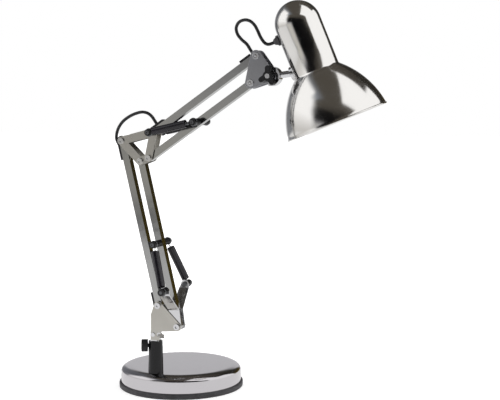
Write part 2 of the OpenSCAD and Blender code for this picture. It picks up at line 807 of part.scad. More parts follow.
module elbow_washers() {
    play = 0.1;
    color("#161618") for (p = [elbow_rear, elbow_front, elbow_under, elbow_top], side = [-1, 1]) {
        bore = (p == elbow_top ? cross_r : bolt_r) + fit;
        r = p == elbow_rear ? washer_r : bar_depth / 2;
        in_arm(p, side > 0 ? gap_half : -bar_half - play) rotate([90, 0, 0])
            tube(r, bore, gap_half - bar_half - play);
    }
}

// Springs

lower_span = [for (side = [-1, 1])
    [cross_low[0] - ear_u, side * (spring_side - ear_spring_side), cross_low[1] - ear_z]];
upper_span = [cross_up[0] - elbow_top[0], 0, cross_up[1] - elbow_top[1]];

// A hook round a spool at a point p of the lamp, and its shank to the spring's
// middle line, which it meets at reach along d
module hook(p, d, reach) {
    flat = [d[0], 0, d[2]] / norm([d[0], 0, d[2]]);
    root = p + hook_r * flat;
    shank = p + reach * unit(d) - root;
    translate(p) rotate([90, 0, 0]) ring(hook_r, wire_r);
    aim(root, shank) cylinder(r = wire_r, h = norm(shank));
}

module spring_body(p, d, hook_len) {
    hook(p, d, hook_len + wire_d);
    aim(p, d) translate([0, 0, hook_len]) {
        tube(spring_r, spring_r - wire_d, spring_len);
        cylinder(r = spring_r, h = wire_d);
    }
}

module eye_body(p, d, sleeve_start) {
    hook(p, d, sleeve_start + 3);
    aim(p, d) translate([0, 0, sleeve_start + 2]) cylinder(r = sleeve_bore_r - fit, h = 4);
}

module sleeve_body(p, d, start, len) {
    aim(p, d) translate([0, 0, start]) tube(sleeve_r, sleeve_bore_r, len);
}

// Hook points of the four springs; k is 0 on the near side, 1 on the far side
function hook_at(p, v, k) = [stem_x + p[0], stem_y + (2 * k - 1) * v, p[1]];

module lower_springs() {
    color("#9a9c9f") for (k = [0, 1])
        spring_body(hook_at(cross_low, spring_side, k), -lower_span[k], lower_hook_len);
}

module lower_eyes() {
    color("#9a9c9f") for (k = [0, 1])
        eye_body(hook_at(ear_pin, ear_spring_side, k), lower_span[k], lower_sleeve_start);
}

module lower_sleeves() {
    color("#17171a") for (k = [0, 1])
        sleeve_body(hook_at(ear_pin, ear_spring_side, k), lower_span[k],
            lower_sleeve_start, lower_sleeve_len);
}

module upper_springs() {
    color("#9a9c9f") for (k = [0, 1])
        spring_body(hook_at(cross_up, spring_side, k), -upper_span, upper_hook_len);
}

module upper_eyes() {
    color("#9a9c9f") for (k = [0, 1])
        eye_body(hook_at(elbow_top, spring_side, k), upper_span, upper_sleeve_start);
}

module upper_sleeves() {
    color("#17171a") for (k = [0, 1])
        sleeve_body(hook_at(elbow_top, spring_side, k), upper_span, upper_sleeve_start, upper_sleeve_len);
}

// Head bracket

eyelet_r = 2.6;
eyelet_bore_r = 1.9;
head_r = 7;

module head_outline() {
    difference() {
        union() {
            strip(head_top, head_under, 2 * head_r);
            strip(head_under, tilt_axis, 2 * head_r);
            strip(tilt_axis, head_top, 2 * head_r);
            polygon([head_top, head_under, tilt_axis]);
        }
        translate(head_top) circle(r = eyelet_r + fit);
        translate(head_under) circle(r = eyelet_r + fit);
        translate(tilt_axis) circle(r = 3 + fit);
    }
}

module head_plates() {
    color("#8c8e93") {
        arm_plate(-plate_out, -gap_half) head_outline();
        arm_plate(gap_half, plate_out) head_outline();
    }
}

module head_eyelets() {
    flange = 1.2;
    play = 0.1;
    color("#dcdddf") for (p = [head_top, head_under]) in_arm(p, plate_out) rotate([90, 0, 0])
        difference() {
            union() {
                cylinder(r = eyelet_r, h = 2 * plate_out);
                for (z = [-flange, 2 * plate_out]) translate([0, 0, z]) cylinder(r = 4.3, h = flange);
                for (z = [plate_t, plate_out + bar_half + play])
                    translate([0, 0, z]) cylinder(r = 4.2, h = gap_half - bar_half - play);
            }
            translate([0, 0, -2]) cylinder(r = eyelet_bore_r, h = 2 * plate_out + 4);
        }
}

// Tilt clamp, stud and shade, in the stud's own frame: X runs along the stud

module stud_frame() {
    in_arm(tilt_axis) rotate([0, -stud_rise, 0]) rotate([shade_roll, 0, 0]) children();
}

// The shade's frame: origin at the shoulder on the shade's axis, Z up the neck,
// placed so that the stud meets the neck's wall neck_drop above the shoulder
module shade_frame() {
    stud_frame() translate([neck_reach, 0, neck_r * sin(kink) - neck_drop * cos(kink)])
        rotate([0, -kink, 0]) children();
}

module tilt_clamp() {
    wide = plate_gap / 2 - 0.2;
    t = clamp_t;
    color("#cfd1d4") difference() {
        cross_pin(tilt_axis, -wide, wide, clamp_r);
        cross_pin(tilt_axis, -wide + t, wide - t, clamp_r - t);
        cross_pin(tilt_axis, -wide - 1, wide + 1, 3 + fit);
        in_arm(tilt_axis) rotate([0, -stud_rise, 0]) {
            translate([-clamp_r - 6, -wide + t, -clamp_r - 1])
                cube([clamp_r + 4, 2 * (wide - t), 2 * clamp_r + 2]);
            translate([-2 * clamp_r - 4, -wide - 1, -clamp_r - 1])
                cube([2 * clamp_r, 2 * wide + 2, 2 * clamp_r + 2]);
            rotate([0, 90, 0]) cylinder(r = 3 + fit, h = clamp_r + 2);
        }
    }
}

knob_v = plate_out + 1.4;
knob_h = 9;

module clamp_bolt() {
    color("#d6d7d9") {
        cross_pin(tilt_axis, -knob_v - knob_h - 1, plate_out + 0.01, 3);
        cross_pin(tilt_axis, plate_out, plate_out + 2.4, 5.5);
    }
}

module wing_knob() {
    lobe_at = 9.4;
    lobe_r = 3.3;
    color("#131315") arm_plate(-knob_v - knob_h, -knob_v) difference() {
        union() {
            translate(tilt_axis) circle(r = 6.2);
            for (a = [90, 208, 304])
                strip(tilt_axis, tilt_axis + lobe_at * [cos(a), sin(a)], 2 * lobe_r);
        }
        translate(tilt_axis) circle(r = 3 + fit);
    }
}

module swivel_stud() {
    color("#d9dadc") {
        stud_frame() rotate([0, 90, 0]) translate([0, 0, clamp_nut_at - 0.3])
            cylinder(r = 3, h = clamp_r - clamp_nut_at + 0.7);
        difference() {
            stud_frame() rotate([0, 90, 0]) translate([0, 0, clamp_r + 0.2]) cylinder(d = stud_d, h = 24);
            shade_frame() translate([-neck_r - saddle_h, -20, -20]) cube([60, 40, 80]);
        }
        shade_frame() translate([-neck_r - saddle_h - 0.5, 0, neck_drop]) rotate([0, 90, 0])
            cylinder(r = 3, h = neck_r + saddle_h - stud_end + 0.5);
    }
}

module stud_nuts() {
    color("#c2c4c7") {
        stud_frame() rotate([0, 90, 0]) translate([0, 0, clamp_nut_at]) difference() {
            hex(clamp_nut_af, clamp_nut_h);
            translate([0, 0, -1]) cylinder(r = 3 + fit, h = 6);
        }
        shade_frame() translate([bracket_leg_x + bracket_leg_t, 0, neck_drop]) rotate([0, 90, 0])
            difference() {
                hex(10, 3.4);
                translate([0, 0, -1]) cylinder(r = 3 + fit, h = 6);
            }
    }
}

module saddle_washer() {
    color("#d9dadc") shade_frame() difference() {
        translate([-neck_r - saddle_h, 0, neck_drop]) rotate([0, 90, 0])
            cylinder(r = saddle_r, h = saddle_h + 3);
        translate([0, 0, neck_drop - 15]) cylinder(r = neck_r + 2 * fit, h = 30, $fn = 128);
        translate([-neck_r - saddle_h - 1, 0, neck_drop]) rotate([0, 90, 0]) cylinder(r = 3 + fit, h = 8);
    }
}

// The bell's curve drawn in by t, from the height z1 to the height z2
function bell_arc(t, z1, z2, n) = let (
    r = bell_curve_r - t,
    a1 = asin((z1 - bell_centre[1]) / r),
    a2 = asin((z2 - bell_centre[1]) / r)
) [for (i = [0 : n]) bell_centre + r * [cos(a1 + (a2 - a1) * i / n), sin(a1 + (a2 - a1) * i / n)]];

function dome_arc(r, a1, a2) = [for (i = [0 : 18])
    let (a = a1 + (a2 - a1) * i / 18) [i == 0 && a1 == 90 || i == 18 && a2 == 90 ? 0 : r * cos(a),
        neck_len + r * sin(a)]];

// Height at which the bell's inner side leaves the neck's inner side
inner_shoulder = bell_centre[1] + sqrt(pow(bell_curve_r - shade_t, 2)
    - pow(neck_r - shade_t - bell_centre[0], 2));

// Section of the shade's wall: dome, neck, bell and the rolled bead at its mouth
module shade_section() {
    bead_r = 1.1;
    bead_at = [mouth_r - 0.3, -bell_len];
    polygon(concat(
        dome_arc(neck_r, 90, 0),
        bell_arc(0, 0, -bell_len + 2 * bead_r, 24),
        [for (a = [70 : -20 : -210]) bead_at + bead_r * [cos(a), sin(a)]],
        bell_arc(shade_t, -bell_len + 2 * bead_r, inner_shoulder, 24),
        dome_arc(neck_r - shade_t, 0, 90)
    ));
}

module shade() {
    color("#c3c5c8") shade_frame() difference() {
        rotate_extrude($fn = 128) shade_section();
        translate([-neck_r - 2, 0, neck_drop]) rotate([0, 90, 0]) cylinder(r = 3 + fit, h = 6);
        translate([-neck_r - 2, 0, gland_up]) rotate([0, 90, 0]) cylinder(r = gland_hole_r + fit, h = 6);
    }
}

module holder_bracket() {
    half_w = 7;
    color("#a6a8ab") shade_frame() difference() {
        union() {
            translate([bracket_leg_x, -half_w, neck_drop - half_w])
                cube([bracket_leg_t, 2 * half_w, holder_step_z + 1.5 - neck_drop + half_w]);
            translate([bracket_leg_x, -half_w, holder_step_z])
                cube([-bracket_leg_x, 2 * half_w, 1.5]);
            translate([0, 0, holder_step_z]) cylinder(r = holder_top_r + 4, h = 1.5);
        }
        translate([0, 0, holder_step_z - 1]) cylinder(r = holder_top_r + fit, h = 4);
        translate([bracket_leg_x - 1, 0, neck_drop]) rotate([0, 90, 0]) cylinder(r = 3 + fit, h = 4);
    }
}

module lamp_holder() {
    bore = bulb_neck_r - 0.5;
    color("#1c1c1e") shade_frame() difference() {
        union() {
            translate([0, 0, holder_mouth_z]) cylinder(r = holder_r, h = holder_step_z - holder_mouth_z);
            translate([0, 0, holder_step_z - 1])
                cylinder(r = holder_top_r, h = holder_top_z - holder_step_z + 1);
        }
        translate([0, 0, holder_mouth_z - 1]) cylinder(r = bore, h = holder_bore + 1);
    }
}

// The bulb's glass drawn in by t: globe and the cone up to its cap
module bulb_glass(t) {
    cone_z = bulb_centre_z + 0.72 * bulb_r;
    translate([0, 0, bulb_centre_z]) sphere(r = bulb_r - t);
    translate([0, 0, cone_z])
        cylinder(r1 = bulb_r * 0.69 - t, r2 = bulb_neck_r - 2 - t, h = holder_mouth_z - 1.4 - cone_z);
}

module bulb() {
    cap_r = 12.8;
    cap_len = holder_bore - 1;
    color("#f4f2ea") shade_frame() difference() {
        union() {
            bulb_glass(0);
            translate([0, 0, holder_mouth_z - 3]) cylinder(r = cap_r, h = cap_len);
            translate([0, 0, holder_mouth_z + cap_len - 3.5]) cylinder(r1 = cap_r - 1, r2 = 5, h = 4);
        }
        bulb_glass(bulb_t);
        translate([0, 0, bulb_centre_z]) cylinder(r = 3.5, h = holder_top_z - bulb_centre_z);
    }
}

module flex_gland() {
    color("#17171a") shade_frame() translate([-neck_r, 0, gland_up]) rotate([0, -90, 0]) difference() {
        union() {
            translate([0, 0, -2.4]) cylinder(r = gland_hole_r, h = 6);
            translate([0, 0, 0.5]) cylinder(r = gland_r, h = 3.2);
            translate([0, 0, 3.6]) cylinder(r1 = gland_r - 1, r2 = flex_r + 1.4, h = gland_len - 3.6);
        }
        translate([0, 0, -4]) cylinder(r = flex_r + fit, h = 16);
    }
}

// Flex

// From the stem's bore down to the base's well, a quarter bend and the slot
well_route = [for (z = [flex_split, 70, 50, 38, 27]) [stem_x, stem_y, z]];
bend_r = well_route[4][2] - flex_out_z;
bend_route = [for (a = [15 : 15 : 90]) [
    stem_x + bend_r * (1 - cos(a)) * slot_dir[0],
    stem_y + bend_r * (1 - cos(a)) * slot_dir[1],
    flex_out_z + bend_r * (1 - sin(a))
]];
slot_len = norm(exit_at - [stem_x, stem_y]);
slot_route = [for (way = [bend_r + 12 : 12 : slot_len - 4]) [
    stem_x + way * slot_dir[0], stem_y + way * slot_dir[1], flex_out_z
]];

module flex_base() {
    flex(concat(well_route, bend_route, slot_route, [concat(exit_at, [flex_out_z]), lead_start]));
}

module flex_foot() {
    flex(in_room(foot_route));
}

// Flex in a bar from p to q: its points beside the bar's two ends, the second
// ones counted back from q, and the channel's bottom between them
function bar_route(p, q, start, finish) = let (n = norm(q - p)) [for (w = concat(
    start, [for (way = [45, n / 2, n - 45]) [way, -0.4]], [for (w = finish) [n + w[0], w[1]]]
)) on_bar(p, q, w)];

module flex_lower() {
    first = on_bar(foot_rear, elbow_rear, [3, 6.4]);
    flex(in_room(concat([first, first + [0, 3]], bar_route(foot_rear, elbow_rear,
        [[11, 4.3], [16, 2.3], [22, 0.7], [29, -0.2]],
        [[-36, -0.2], [-28, 0.9], [-21, 2.2], [-15, 4], [-9, 6.1], [-4, 7.75], [-1, 8.65]]))));
}

module flex_upper() {
    flex(in_room(bar_route(elbow_top, head_top,
        [[7, 9.5], [7, 7.6], [8.07, 3.6], [11, 0.67], [15, -0.4]],
        [[-11.8, -0.4], [-7.8, 0.67], [-4.87, 3.6], [-3.8, 7.6], [-3.8, 9.5]])));
}

module flex_elbow() {
    flex(in_room(elbow_route));
}

module flex_head() {
    flex(in_room(head_route));
}

// The free lead behind the base: its run to the coil, the coil of two layers,
// wound inwards and then back out on top, and the tail to the plug

sweep_turns = 2 * coil_turns - 1 + (coil_end - coil_start) / 360;
coil_steps = round(sweep_turns * loop_points);
// The coil's middle line at a share s of its length
function coil_point(s) = let (
    a = coil_start + s * 360 * sweep_turns,
    r = coil_r - (1 - abs(2 * s - 1)) * (coil_turns - 0.5) * coil_step,
    climb = max(0, min(1, (s - 0.5) * sweep_turns / 0.5 + 0.5))
) [coil_at[0] + r * cos(a), coil_at[1] + r * sin(a), flex_r + climb * coil_lift];

coil_in = [-sin(coil_start), cos(coil_start), 0];
coil_out = [-sin(coil_end), cos(coil_end), 0];
coil_first = coil_point(0) - flex_d * coil_in;
coil_last = coil_point(1) + flex_d * coil_out;

// Least gap between a turn and the turns that follow it, on points of the coil
coil_gap = min([
    for (i = [0 : coil_steps], k = [1 : 2 * coil_turns - 1], e = [-0.04 : 0.02 : 0.04])
        let (s = i / coil_steps, t = s + (k + e) / sweep_turns)
        if (t <= 1) norm(coil_point(s) - coil_point(t)) - flex_d
]);
echo(str("least gap in the coil ", coil_gap, " mm"));

module lead_run() {
    flex(concat(run_route, [coil_first - flex_d * coil_in, coil_first]));
}

module lead_coil() {
    color("#1b1b1d") sweep(concat(
        [coil_first], [for (i = [0 : coil_steps]) coil_point(i / coil_steps)], [coil_last]
    ), flex_r, 6);
}

plug_at = coil_last + cord_tail * coil_out;

module lead_tail() {
    flex([coil_last, coil_last + cord_tail / 2 * coil_out, plug_at]);
}

module plug() {
    body_len = 34;
    face_w = 34;
    cord_w = 11;
    h = 2 * plug_at[2];
    color("#161618") translate(plug_at) rotate([0, 0, coil_end + 90]) {
        translate([0, 0, -h / 2]) linear_extrude(h) polygon([
            [0, -cord_w / 2], [8, -cord_w / 2 - 1], [24, -face_w / 2 + 1], [body_len, -face_w / 2],
            [body_len, face_w / 2], [24, face_w / 2 - 1], [8, cord_w / 2 + 1], [0, cord_w / 2]
        ]);
        for (side = [-1, 1])
            translate([body_len - 1, side * 9.3, 0]) rotate([0, 90, 0]) cylinder(r = 2, h = 20);
    }
}

base_shell();
base_rim();
base_weight();
base_pad();
socket_tube();
socket_nut();
cable_grommet();
thumb_knob();
stem_pin();
stem_rivets();
foot_bracket();
spring_ears();
foot_bolts();
ear_pins();
ear_spools();
rear_bar();
rear_clips();
front_bar();
front_crossbar();
front_spools();
elbow_plates();
elbow_bolts();
elbow_washers();
elbow_crossbar();
elbow_spools();
top_bar();
top_clips();
under_bar();
under_crossbar();
under_spools();
lower_springs();
lower_eyes();
lower_sleeves();
upper_springs();
upper_eyes();
upper_sleeves();
head_plates();
head_eyelets();
tilt_clamp();
clamp_bolt();
wing_knob();
swivel_stud();
stud_nuts();
saddle_washer();
shade();
holder_bracket();
lamp_holder();
bulb();
flex_gland();
flex_base();
flex_foot();
flex_lower();
flex_elbow();
flex_upper();
flex_head();
lead_run();
lead_coil();
lead_tail();
plug();
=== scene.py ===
"""Balanced-arm desk lamp: its finishes, rounded edges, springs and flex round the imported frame."""
import math

import bmesh
import bpy
from bpy.props import FloatProperty, FloatVectorProperty, IntProperty, PointerProperty
from bpy.types import Operator, Panel, PropertyGroup
from mathutils import Matrix, Vector


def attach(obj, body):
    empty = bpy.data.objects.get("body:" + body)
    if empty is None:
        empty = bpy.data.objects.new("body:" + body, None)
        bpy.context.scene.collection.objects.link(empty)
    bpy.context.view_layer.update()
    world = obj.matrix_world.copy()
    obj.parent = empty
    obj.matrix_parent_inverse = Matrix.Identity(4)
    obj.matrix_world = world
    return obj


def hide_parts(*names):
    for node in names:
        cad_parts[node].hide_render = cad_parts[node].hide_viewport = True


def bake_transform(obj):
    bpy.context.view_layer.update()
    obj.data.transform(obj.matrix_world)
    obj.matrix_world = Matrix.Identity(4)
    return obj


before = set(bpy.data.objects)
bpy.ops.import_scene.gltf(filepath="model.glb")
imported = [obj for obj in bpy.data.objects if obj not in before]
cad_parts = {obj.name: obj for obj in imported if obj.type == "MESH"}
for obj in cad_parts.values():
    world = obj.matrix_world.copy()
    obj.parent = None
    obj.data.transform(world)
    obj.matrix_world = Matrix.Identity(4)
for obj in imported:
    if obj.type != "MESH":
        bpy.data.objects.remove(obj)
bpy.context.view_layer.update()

bl_info = {
    "name": "Desk lamp",
    "version": (1, 0, 0),
    "blender": (4, 5, 0),
    "location": "3D view, sidebar, Desk lamp",
    "description": "Builds the pieces and finishes of a balanced-arm desk lamp",
    "category": "Add Mesh",
}

MM = 0.001

# Places from the CAD source, in mm. Points in the arms' plane are (u, z), with
# u along X from the stem's axis, and sometimes v across the plane.
STEM = (-9.5, -60.0)
LOWER_LEAN, UPPER_RISE = math.radians(13.35), math.radians(34.3)
LOWER_DIR = Vector((-math.sin(LOWER_LEAN), math.cos(LOWER_LEAN)))
UPPER_DIR = Vector((math.cos(UPPER_RISE), math.sin(UPPER_RISE)))
LOWER_LEN, UPPER_LEN = 216.0, 166.8
FOOT_REAR = Vector((6.8, 118.0))
FOOT_FRONT = FOOT_REAR + Vector((26.4, -25.8))
ELBOW_REAR = FOOT_REAR + LOWER_LEN * LOWER_DIR
ELBOW_UNDER = ELBOW_REAR + Vector((38.0, -21.5))
ELBOW_TOP = ELBOW_UNDER + Vector((7.2, 32.8))
HEAD_UNDER, HEAD_TOP = ELBOW_UNDER + UPPER_LEN * UPPER_DIR, ELBOW_TOP + UPPER_LEN * UPPER_DIR
TILT_AXIS = HEAD_UNDER + Vector((25.6, 8.0))
EAR_PIN = Vector((28.0, 141.5))
CROSS_LOW = FOOT_FRONT + 108.8 * LOWER_DIR
CROSS_UP = ELBOW_UNDER + 82.0 * UPPER_DIR
SPRING_SIDE, EAR_SPRING_SIDE = 21.0, 40.0
STUD_RISE, SHADE_ROLL, KINK = math.radians(7.0), math.radians(5.0), math.radians(14.5)
NECK_R, NECK_LEN, MOUTH_R, BELL_LEN, BELL_CURVE_R = 28.0, 61.0, 63.0, 65.5, 105.0
NECK_REACH, NECK_DROP, GLAND_UP, GLAND_LEN = 57.0, 8.5, 52.0, 8.2
FLEX_R = 2.0
BASE_R, FLAT_R, WALL_TOP, BASE_TOP, BASE_FOOT = 80.0, 65.3, 21.7, 29.2, 3.0
FLEX_OUT = Vector((10.0, 79.3725, 11.0))
SLOT_DIR = Vector((FLEX_OUT.x - STEM[0], FLEX_OUT.y - STEM[1], 0)).normalized()
RELIEF_LEN = 20.0
COIL_AT, COIL_R, COIL_TURNS, COIL_STEP, COIL_LIFT = Vector((-20.5, 114.4725)), 29.5, 5.25, 4.5, 4.5
COIL_START, COIL_STEPS = 60.0, 126
PLUG_TAIL, PLUG_LEN = 21.0, 34.5
EYE_COIL, EYE_TURNS = 7.0, 5

# The photograph's camera, in mm, and its lens
CAMERA_AT = Vector((601.05, -1374.78, 373.60))
CAMERA_DIR = Vector((-0.34236, 0.93587, -0.08334))
CAMERA_LENS = 81.7

# Points and planes of a CAD node that count as the same, in metres and radians
SAME_POINT, SAME_PLANE = 0.002 * MM, math.radians(0.4)

# How far the floor near the lamp is lifted towards white, with its shadow left in
FLOOR_LIFT = 0.5

# The plates' grain is drawn out along Z
BRUSHED = (1, 1, 0.06)


# Colours and material nodes

def linear(code):
    """An sRGB hex colour as linear red, green and blue."""
    parts = [int(code[k:k + 2], 16) / 255 for k in (1, 3, 5)]
    return tuple(c / 12.92 if c <= 0.04045 else ((c + 0.055) / 1.055) ** 2.4 for c in parts)


def opaque(colour):
    return (*colour[:3], 1.0)


def add(tree, kind, values=(), links=(), **settings):
    """Adds one node: settings are its own, values its sockets', and links join its inputs to other sockets."""
    node = tree.nodes.new(kind)
    for name, value in settings.items():
        setattr(node, name, value)
    for name, value in dict(values).items():
        node.inputs[name].default_value = value
    for name, socket in dict(links).items():
        tree.links.new(socket, node.inputs[name])
    return node


def new_finish(name):
    """An empty material with its output and a source of Object coordinates."""
    finish = bpy.data.materials.new(name)
    finish.use_nodes = True
    tree = finish.node_tree
    tree.nodes.clear()
    out = add(tree, "ShaderNodeOutputMaterial")
    place = add(tree, "ShaderNodeTexCoord").outputs["Object"]
    return finish, tree, out, place


def ranged(tree, value, low, high, from_low=0.3, from_high=0.7):
    """A noise value stretched to run from low to high."""
    return add(tree, "ShaderNodeMapRange",
               {"From Min": from_low, "From Max": from_high, "To Min": low, "To Max": high},
               {"Value": value}).outputs["Result"]


def plated_steel(name, colour, rough_low, rough_high, wave, wave_mm, grain=0.0, grain_scale=(1, 1, 1)):
    """Chrome or nickel plate. Colour is the metal's; rough_low and rough_high its clean and handled
    places; wave the pressed sheet's slight unevenness, wave_mm wide; grain the lines of polishing."""
    finish, tree, out, place = new_finish(name)
    haze = add(tree, "ShaderNodeTexNoise", {"Scale": 1 / (18 * MM), "Detail": 4.0, "Roughness": 0.6},
               {"Vector": place})
    rough = ranged(tree, haze.outputs["Fac"], rough_low, rough_high)
    uneven = add(tree, "ShaderNodeTexNoise", {"Scale": 1 / (wave_mm * MM), "Detail": 1.0}, {"Vector": place})
    bump = add(tree, "ShaderNodeBump", {"Strength": wave, "Distance": 1 * MM},
               {"Height": uneven.outputs["Fac"]})
    if grain:
        drawn = add(tree, "ShaderNodeMapping", {"Scale": grain_scale}, {"Vector": place})
        lines = add(tree, "ShaderNodeTexNoise", {"Scale": 1 / (0.4 * MM), "Detail": 2.0},
                    {"Vector": drawn.outputs["Vector"]})
        bump = add(tree, "ShaderNodeBump", {"Strength": grain, "Distance": 0.05 * MM},
                   {"Height": lines.outputs["Fac"], "Normal": bump.outputs["Normal"]})
    shader = add(tree, "ShaderNodeBsdfPrincipled", {"Base Color": opaque(colour), "Metallic": 1.0},
                 {"Roughness": rough, "Normal": bump.outputs["Normal"]})
    tree.links.new(shader.outputs["BSDF"], out.inputs["Surface"])
    return finish


def dark_solid(name, colour, worn, rough_low, rough_high, grit_mm, grit, ior=1.5, coat=0.0):
    """Black plastic, rubber or enamel. Worn is the colour of dusty or rubbed places, grit_mm the
    size of the surface's texture and grit its depth."""
    finish, tree, out, place = new_finish(name)
    dust = add(tree, "ShaderNodeTexNoise", {"Scale": 1 / (9 * MM), "Detail": 5.0, "Roughness": 0.65},
               {"Vector": place})
    tint = add(tree, "ShaderNodeMixRGB", {"Color1": opaque(colour), "Color2": opaque(worn)},
               {"Fac": ranged(tree, dust.outputs["Fac"], 0.0, 1.0)})
    rough = ranged(tree, dust.outputs["Fac"], rough_low, rough_high)
    fine = add(tree, "ShaderNodeTexNoise", {"Scale": 1 / (grit_mm * MM), "Detail": 3.0}, {"Vector": place})
    bump = add(tree, "ShaderNodeBump", {"Strength": grit, "Distance": 0.1 * MM},
               {"Height": fine.outputs["Fac"]})
    shader = add(tree, "ShaderNodeBsdfPrincipled", {"IOR": ior, "Coat Weight": coat, "Coat Roughness": 0.06},
                 {"Base Color": tint.outputs["Color"], "Roughness": rough, "Normal": bump.outputs["Normal"]})
    tree.links.new(shader.outputs["BSDF"], out.inputs["Surface"])
    return finish


def opal_bulb_glass(name, colour):
    """Satin opal glass of a bulb: milky, softly shiny, a touch warmer in the thick places."""
    finish, tree, out, place = new_finish(name)
    milk = add(tree, "ShaderNodeTexNoise", {"Scale": 1 / (25 * MM), "Detail": 2.0}, {"Vector": place})
    tint = add(tree, "ShaderNodeMixRGB", {"Color1": opaque(colour), "Color2": opaque(linear("#efe9dc"))},
               {"Fac": milk.outputs["Fac"]})
    shader = add(tree, "ShaderNodeBsdfPrincipled",
                 {"Roughness": 0.22, "IOR": 1.5, "Subsurface Weight": 0.25, "Subsurface Scale": 4 * MM},
                 {"Base Color": tint.outputs["Color"]})
    tree.links.new(shader.outputs["BSDF"], out.inputs["Surface"])
    return finish


def pressed_felt(name, colour):
    """Pressed wool felt: matt, with a fuzz of fibres about 1 mm long."""
    finish, tree, out, place = new_finish(name)
    fuzz = add(tree, "ShaderNodeTexNoise", {"Scale": 1 / (1.0 * MM), "Detail": 6.0}, {"Vector": place})
    tint = add(tree, "ShaderNodeMixRGB", {"Color1": opaque(colour), "Color2": opaque(linear("#4b4b4e"))},
               {"Fac": fuzz.outputs["Fac"]})
    bump = add(tree, "ShaderNodeBump", {"Strength": 0.8, "Distance": 0.4 * MM}, {"Height": fuzz.outputs["Fac"]})
    shader = add(tree, "ShaderNodeBsdfPrincipled", {"Roughness": 0.95, "Sheen Weight": 0.4},
                 {"Base Color": tint.outputs["Color"], "Normal": bump.outputs["Normal"]})
    tree.links.new(shader.outputs["BSDF"], out.inputs["Surface"])
    return finish


def make_finishes(colours):
    """Every finish of the lamp by name."""
    return {
        # chromed, buffed sheet: clear reflections with slightly soft edges, and the press's waviness
        "mirror_chrome": plated_steel("mirror_chrome", colours.shade, 0.11, 0.17, 0.03, 30),
        # chromed base shell: the same plate over a coarser, wavier sheet
        "base_chrome": plated_steel("base_chrome", colours.base, 0.10, 0.16, 0.04, 25),
        # folded bars, plated without buffing: clear reflections over a faint grain
        "bar_chrome": plated_steel("bar_chrome", colours.bars, 0.08, 0.15, 0.05, 12, 0.05),
        # turned and stamped hardware, bright nickel plate
        "bright_hardware": plated_steel("bright_hardware", colours.hardware, 0.08, 0.16, 0.05, 6),
        # turned crossbars and pins: the same plate, darker and rougher
        "dull_steel": plated_steel("dull_steel", linear("#77787b"), 0.24, 0.36, 0.05, 6),
        # stamped elbow and bracket plates: satin nickel, finely brushed
        "satin_nickel": plated_steel("satin_nickel", colours.plates, 0.26, 0.38, 0.05, 15, 0.15, BRUSHED),
        # stamped head plates: darker satin plate
        "grey_plate": plated_steel("grey_plate", colours.head_plates, 0.30, 0.42, 0.05, 15, 0.12, BRUSHED),
        # drawn spring wire: dull steel with fine unevenness
        "spring_wire": plated_steel("spring_wire", linear("#8d8f92"), 0.25, 0.4, 0.1, 4),
        # moulded rubber rim and strain relief: matt with a faint bloom
        "moulded_rubber": dark_solid("moulded_rubber", colours.rubber, linear("#48474a"), 0.5, 0.65, 0.8, 0.15),
        # pressed felt pad: dark and matt
        "pressed_felt": pressed_felt("pressed_felt", linear("#2b2b2d")),
        # sand-cast iron: coarse grain under a thin black paint
        "cast_iron": dark_solid("cast_iron", linear("#3c3c3e"), linear("#55504a"), 0.55, 0.8, 1.5, 0.6),
        # stoved gloss enamel on the socket: deep and smooth under a clear coat
        "gloss_enamel": dark_solid("gloss_enamel", colours.enamel, linear("#141417"), 0.1, 0.16, 6, 0.03,
                                   1.35, 0.15),
        # moulded knobs: fine spark-eroded texture, half matt
        "moulded_knob": dark_solid("moulded_knob", colours.plastic, linear("#27272a"), 0.38, 0.5, 0.5, 0.12),
        # moulded clips, washers and spools: smoother plastic
        "moulded_plastic": dark_solid("moulded_plastic", colours.plastic, linear("#222225"), 0.24, 0.36,
                                      0.7, 0.05),
        # extruded sleeves over the springs: glossy, faintly violet where they shine
        "extruded_sleeve": dark_solid("extruded_sleeve", colours.sleeves, linear("#232028"), 0.14, 0.22,
                                      5, 0.04),
        # phenolic lamp holder: glossy, a little brown
        "moulded_phenolic": dark_solid("moulded_phenolic", linear("#1c1a19"), linear("#2a2624"), 0.2, 0.3,
                                       2, 0.05),
        # blown opal glass of the bulb: milky white
        "opal_glass": opal_bulb_glass("opal_glass", linear("#f4f2ea")),
        # flex sheath: extruded soft PVC, satin, with the cores showing as faint waves
        "flex_sheath": dark_solid("flex_sheath", colours.flex, linear("#2a2a2d"), 0.32, 0.45, 3, 0.08),
        # moulded plug: the same plastic as the flex, with a fine matt texture
        "moulded_plug": dark_solid("moulded_plug", colours.flex, linear("#2b2b2e"), 0.42, 0.55, 0.5, 0.15),
    }


# Shapes

def in_arms(p, v=0.0):
    """A point of the arms' plane, v mm across it, in metres in the lamp's frame."""
    across = p[2] if len(p) > 2 else v
    return Vector((p[0] + STEM[0], across + STEM[1], p[1])) * MM


def on_bar(start, along, out, direction):
    """A point beside a bar: along it from start, and out of its open side."""
    return (start[0] + along * direction[0] - out * direction[1],
            start[1] + along * direction[1] + out * direction[0])


def stud_place():
    """The stud's frame: origin on the tilt axis, X along the stud."""
    return (Matrix.Translation(in_arms(TILT_AXIS)) @ Matrix.Rotation(-STUD_RISE, 4, "Y")
            @ Matrix.Rotation(SHADE_ROLL, 4, "X"))


def shade_place():
    """The shade's frame: origin on its axis at the shoulder, Z up the neck."""
    lift = NECK_R * math.sin(KINK) - NECK_DROP * math.cos(KINK)
    return (stud_place() @ Matrix.Translation(Vector((NECK_REACH, 0, lift)) * MM)
            @ Matrix.Rotation(-KINK, 4, "Y"))


